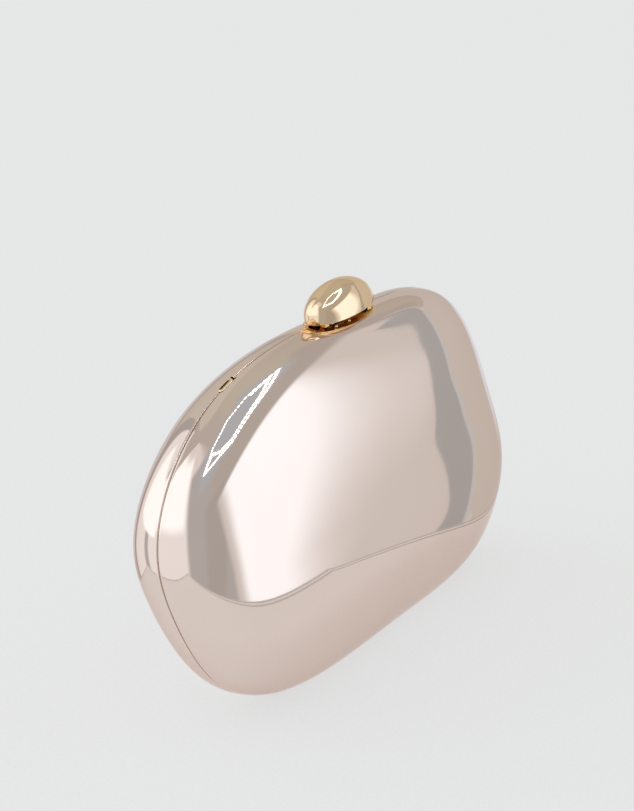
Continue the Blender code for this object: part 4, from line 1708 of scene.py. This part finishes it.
@dataclass
class LightDots:
    """A diamond of small lamp dots overhead."""

    corners: tuple = ((-8, 43), (10, 54), (40, 57), (60, 50), (72, 38), (55, 34), (28, 32), (15, 37),
                      (-8, 43), (8, 48), (16, 40), (28, 34.5), (54, 36.5), (68, 40), (58, 47))
    pitch: float = 2.2
    radius: float = 0.025
    strength: float = 5.0
    around: Around = Around()

    def spots(self) -> list:
        """Work out where the dots go.

        Returns:
            Their places, evenly spaced round the diamond.
        """
        places = []
        for (az0, el0), (az1, el1) in pairwise(self.corners):
            length = math.hypot((az1 - az0) * math.cos(math.radians(el0)), el1 - el0)
            count = max(1, round(length / self.pitch))
            for step in range(count):
                share = step / count
                places.append(self.around.spot(az0 + (az1 - az0) * share, el0 + (el1 - el0) * share))
        return places

    def build(self) -> None:
        """Model one dot and copy it round the diamond; only polished faces see the dots."""
        Bench.clear()
        bpy.ops.mesh.primitive_ico_sphere_add(subdivisions=2, radius=self.radius)
        first = Bench.take("lamp_dot")
        first.data.materials.append(self.around.glow("lamp_dot", (1.0, 1.0, 1.0), self.strength))
        dots = [Bench.repeat(first, "lamp_dot", Matrix.Translation(spot)) for spot in self.spots()]
        bpy.data.objects.remove(first)
        Bench.clear()
        for dot in dots:
            dot.select_set(True)
        bpy.context.view_layer.objects.active = dots[0]
        bpy.ops.object.join()
        item = bpy.context.view_layer.objects.active
        item.name = "lamp_dots"
        self.around.show(item)


@dataclass
class Studio:
    """Pale floor, soft light all round and the camera."""

    backdrop: float = 0.799
    tent_radius: float = 20.0
    floor_half: float = 3.0
    floor_glow: float = 0.79
    floor_shadowless: float = 0.8
    table_glow: float = 1.08
    table_shadowless: float = 0.5
    table_low: tuple = (-150 * MM, -64 * MM)
    table_high: tuple = (156 * MM, 95 * MM)
    table_corner: tuple = ((40 * MM, -66 * MM), (115 * MM, -20 * MM))
    line_places: tuple = (0.7 * MM, 3.2 * MM)
    line_limits: tuple = (0.3 * MM, 0.7 * MM)
    line_shade: float = 0.62
    grain_scale: float = 900.0
    grain_limits: tuple = (0.2, 0.8)
    grain_tones: tuple = (0.89, 0.92)
    well_depth: float = 30 * MM
    well_limits: tuple = (0.82, 0.97)
    azimuth: float = -62.95
    elevation: float = 17.0
    distance: float = 0.905
    target: tuple = (-8.4 * MM, 0.0, 74.6 * MM)
    roll: float = -1.5
    lens: float = 96.7
    sensor: float = 24.0

    def camera(self) -> None:
        """Set the camera where the photograph was taken from."""
        back, right = toward(self.azimuth, self.elevation), toward(self.azimuth + 90, 0)
        up = back.cross(right)
        turn = math.radians(self.roll)
        right = right * math.cos(turn) + up * math.sin(turn)
        up = back.cross(right)
        data = bpy.data.cameras.new("camera")
        data.sensor_fit, data.sensor_height, data.lens = "VERTICAL", self.sensor, self.lens
        item = bpy.data.objects.new("camera", data)
        bpy.context.scene.collection.objects.link(item)
        place = Vector(self.target) + back * self.distance
        item.matrix_world = Matrix.Translation(place) @ Matrix((right, up, back)).transposed().to_4x4()
        bpy.context.scene.camera = item

    def world(self) -> None:
        """Set the plain pale backdrop."""
        world = bpy.data.worlds.new("backdrop")
        world.use_nodes = True
        bpy.context.scene.world = world
        nodes = Nodes(world.node_tree)
        light = nodes.add("ShaderNodeBackground", Color=(self.backdrop, self.backdrop, self.backdrop, 1))
        nodes.link(light.outputs[0], nodes.add("ShaderNodeOutputWorld").inputs["Surface"])

    def tent(self) -> None:
        """Hang the wide light tent whose soft patches light the clutch and show in its polish."""
        material, nodes = Nodes.for_material("light_tent")
        light = nodes.add("ShaderNodeEmission")
        nodes.link(Sky(nodes).paint(), light.inputs["Color"])
        nodes.surface(light)
        item = Bench.egg("light_tent", (0, 0, 0), [self.tent_radius] * 3, 64, 32)
        item.data.materials.append(material)
        item.visible_camera = item.visible_shadow = False

    def plane(self, name: str, low: tuple, high: tuple, material: bpy.types.Material) -> bpy.types.Object:
        """Lay a level sheet between two corners.

        Args:
            name: The sheet's name.
            low: Its lowest x and y.
            high: Its highest x and y.
            material: Its material.

        Returns:
            The sheet.
        """
        Bench.clear()
        middle, size = (Vector(low) + Vector(high)) / 2, Vector(high) - Vector(low)
        bpy.ops.mesh.primitive_plane_add(size=1, location=(*middle, 0))
        bpy.context.view_layer.objects.active.scale = (*size, 1)
        item = Bench.take(name)
        item.data.materials.append(material)
        return item

    def floor(self) -> None:
        """Lay the floor that the camera sees, and the table top that the polished faces mirror."""
        reach = self.floor_half
        floor = self.plane("floor", (-reach, -reach), (reach, reach),
                           self.paper("floor", self.floor_glow, self.floor_shadowless, False))
        floor.visible_glossy = False
        table = self.plane("table", self.table_low, self.table_high,
                           self.paper("table", self.table_glow, self.table_shadowless, True))
        table.visible_camera = table.visible_diffuse = table.visible_shadow = False
        start, inward = self.corner_cut()
        Bench.trim(table, start, inward, False)

    def corner_cut(self) -> tuple:
        """The line that cuts off the table's front right corner.

        Returns:
            A point on the line, and the level direction from it into the table.
        """
        start, end = (Vector((*point, 0)) for point in self.table_corner)
        return start, UP.cross(end - start).normalized()

    def from_edge(self, nodes: Nodes, place: bpy.types.NodeSocket) -> bpy.types.NodeSocket:
        """Measure how far inside the table's edge a point lies.

        Args:
            nodes: The table's nodes.
            place: Socket of the point.

        Returns:
            The distance's socket.
        """
        parts = nodes.parts(place)
        start, across = self.corner_cut()
        cut = nodes.math("ADD", nodes.math("MULTIPLY", parts[0], across.x),
                         nodes.math("MULTIPLY", parts[1], across.y))
        nearest = nodes.math("SUBTRACT", cut, start.dot(across))
        for part, low, high in zip(parts, self.table_low, self.table_high):
            nearest = nodes.math("MINIMUM", nearest, nodes.math("SUBTRACT", part, low))
            nearest = nodes.math("MINIMUM", nearest, nodes.math("SUBTRACT", high, part))
        return nearest

    def paper(self, name: str, glow: float, share: float, edged: bool) -> bpy.types.Material:
        """Pale paper that keeps the clutch's soft shadow; the plain one opens where the clutch dips below.

        Args:
            name: The material's name.
            glow: How bright the shadowless share is.
            share: How much of the brightness is shadowless.
            edged: Whether two thin dark lines run along the front edge.

        Returns:
            The material.
        """
        material, nodes = Nodes.for_material(name)
        place = nodes.place()
        grain = nodes.noise(place, Scale=self.grain_scale, Detail=2.0)
        tone = nodes.ramp(grain, *self.grain_limits, *self.grain_tones)
        light = nodes.math("MULTIPLY", tone, 2 * glow / sum(self.grain_tones))
        if edged:
            inward = self.from_edge(nodes, place)
            for line in self.line_places:
                near = nodes.math("ABSOLUTE", nodes.math("SUBTRACT", inward, line))
                shade = nodes.ramp(near, *self.line_limits, self.line_shade, 1)
                light, tone = nodes.math("MULTIPLY", light, shade), nodes.math("MULTIPLY", tone, shade)
        cloth = nodes.add("ShaderNodeBsdfDiffuse")
        nodes.link(tone, cloth.inputs["Color"])
        shine = nodes.add("ShaderNodeEmission")
        nodes.link(light, shine.inputs["Color"])
        mix = nodes.add("ShaderNodeMixShader")
        path = nodes.add("ShaderNodeLightPath")
        lit = nodes.math("MAXIMUM", path.outputs["Is Camera Ray"], path.outputs["Is Glossy Ray"])
        nodes.link(nodes.math("MULTIPLY", lit, share), mix.inputs[0])
        nodes.link(cloth.outputs[0], mix.inputs[1])
        nodes.link(shine.outputs[0], mix.inputs[2])
        nodes.surface(mix if edged else self.open_below(nodes, mix))
        return material

    def open_below(self, nodes: Nodes, cover: bpy.types.Node) -> bpy.types.Node:
        """Let a surface open where something lies close below it.

        Args:
            nodes: The material's nodes.
            cover: The shader that shows everywhere else.

        Returns:
            The mixed shader.
        """
        below = nodes.add("ShaderNodeAmbientOcclusion", inside=True, samples=8, Distance=self.well_depth)
        whole = nodes.add("ShaderNodeMixShader")
        nodes.link(nodes.ramp(below.outputs["AO"], *self.well_limits), whole.inputs[0])
        nodes.link(nodes.add("ShaderNodeBsdfTransparent").outputs[0], whole.inputs[1])
        nodes.link(cover.outputs[0], whole.inputs[2])
        return whole

    def build(self) -> None:
        """Set the stage."""
        bpy.context.scene.view_settings.view_transform = "Standard"
        self.camera()
        self.world()
        self.tent()
        self.floor()
        Stand().build()
        LightDots().build()


def main() -> None:
    """Build the clutch's looks round its CAD pieces, and set the stage."""
    logging.basicConfig(level=logging.INFO, format="%(message)s")
    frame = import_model()
    Studio().build()
    shop = Workshop(PebbleForm(), Finishes())
    Case(shop).build()
    Clasp(shop).build()
    Rivets(shop).build()
    ChainBars(shop).build()
    Hardware(shop, frame["nodes"]).build(frame["record"])
    Bench.clear()


if __name__ == "__main__":
    main()
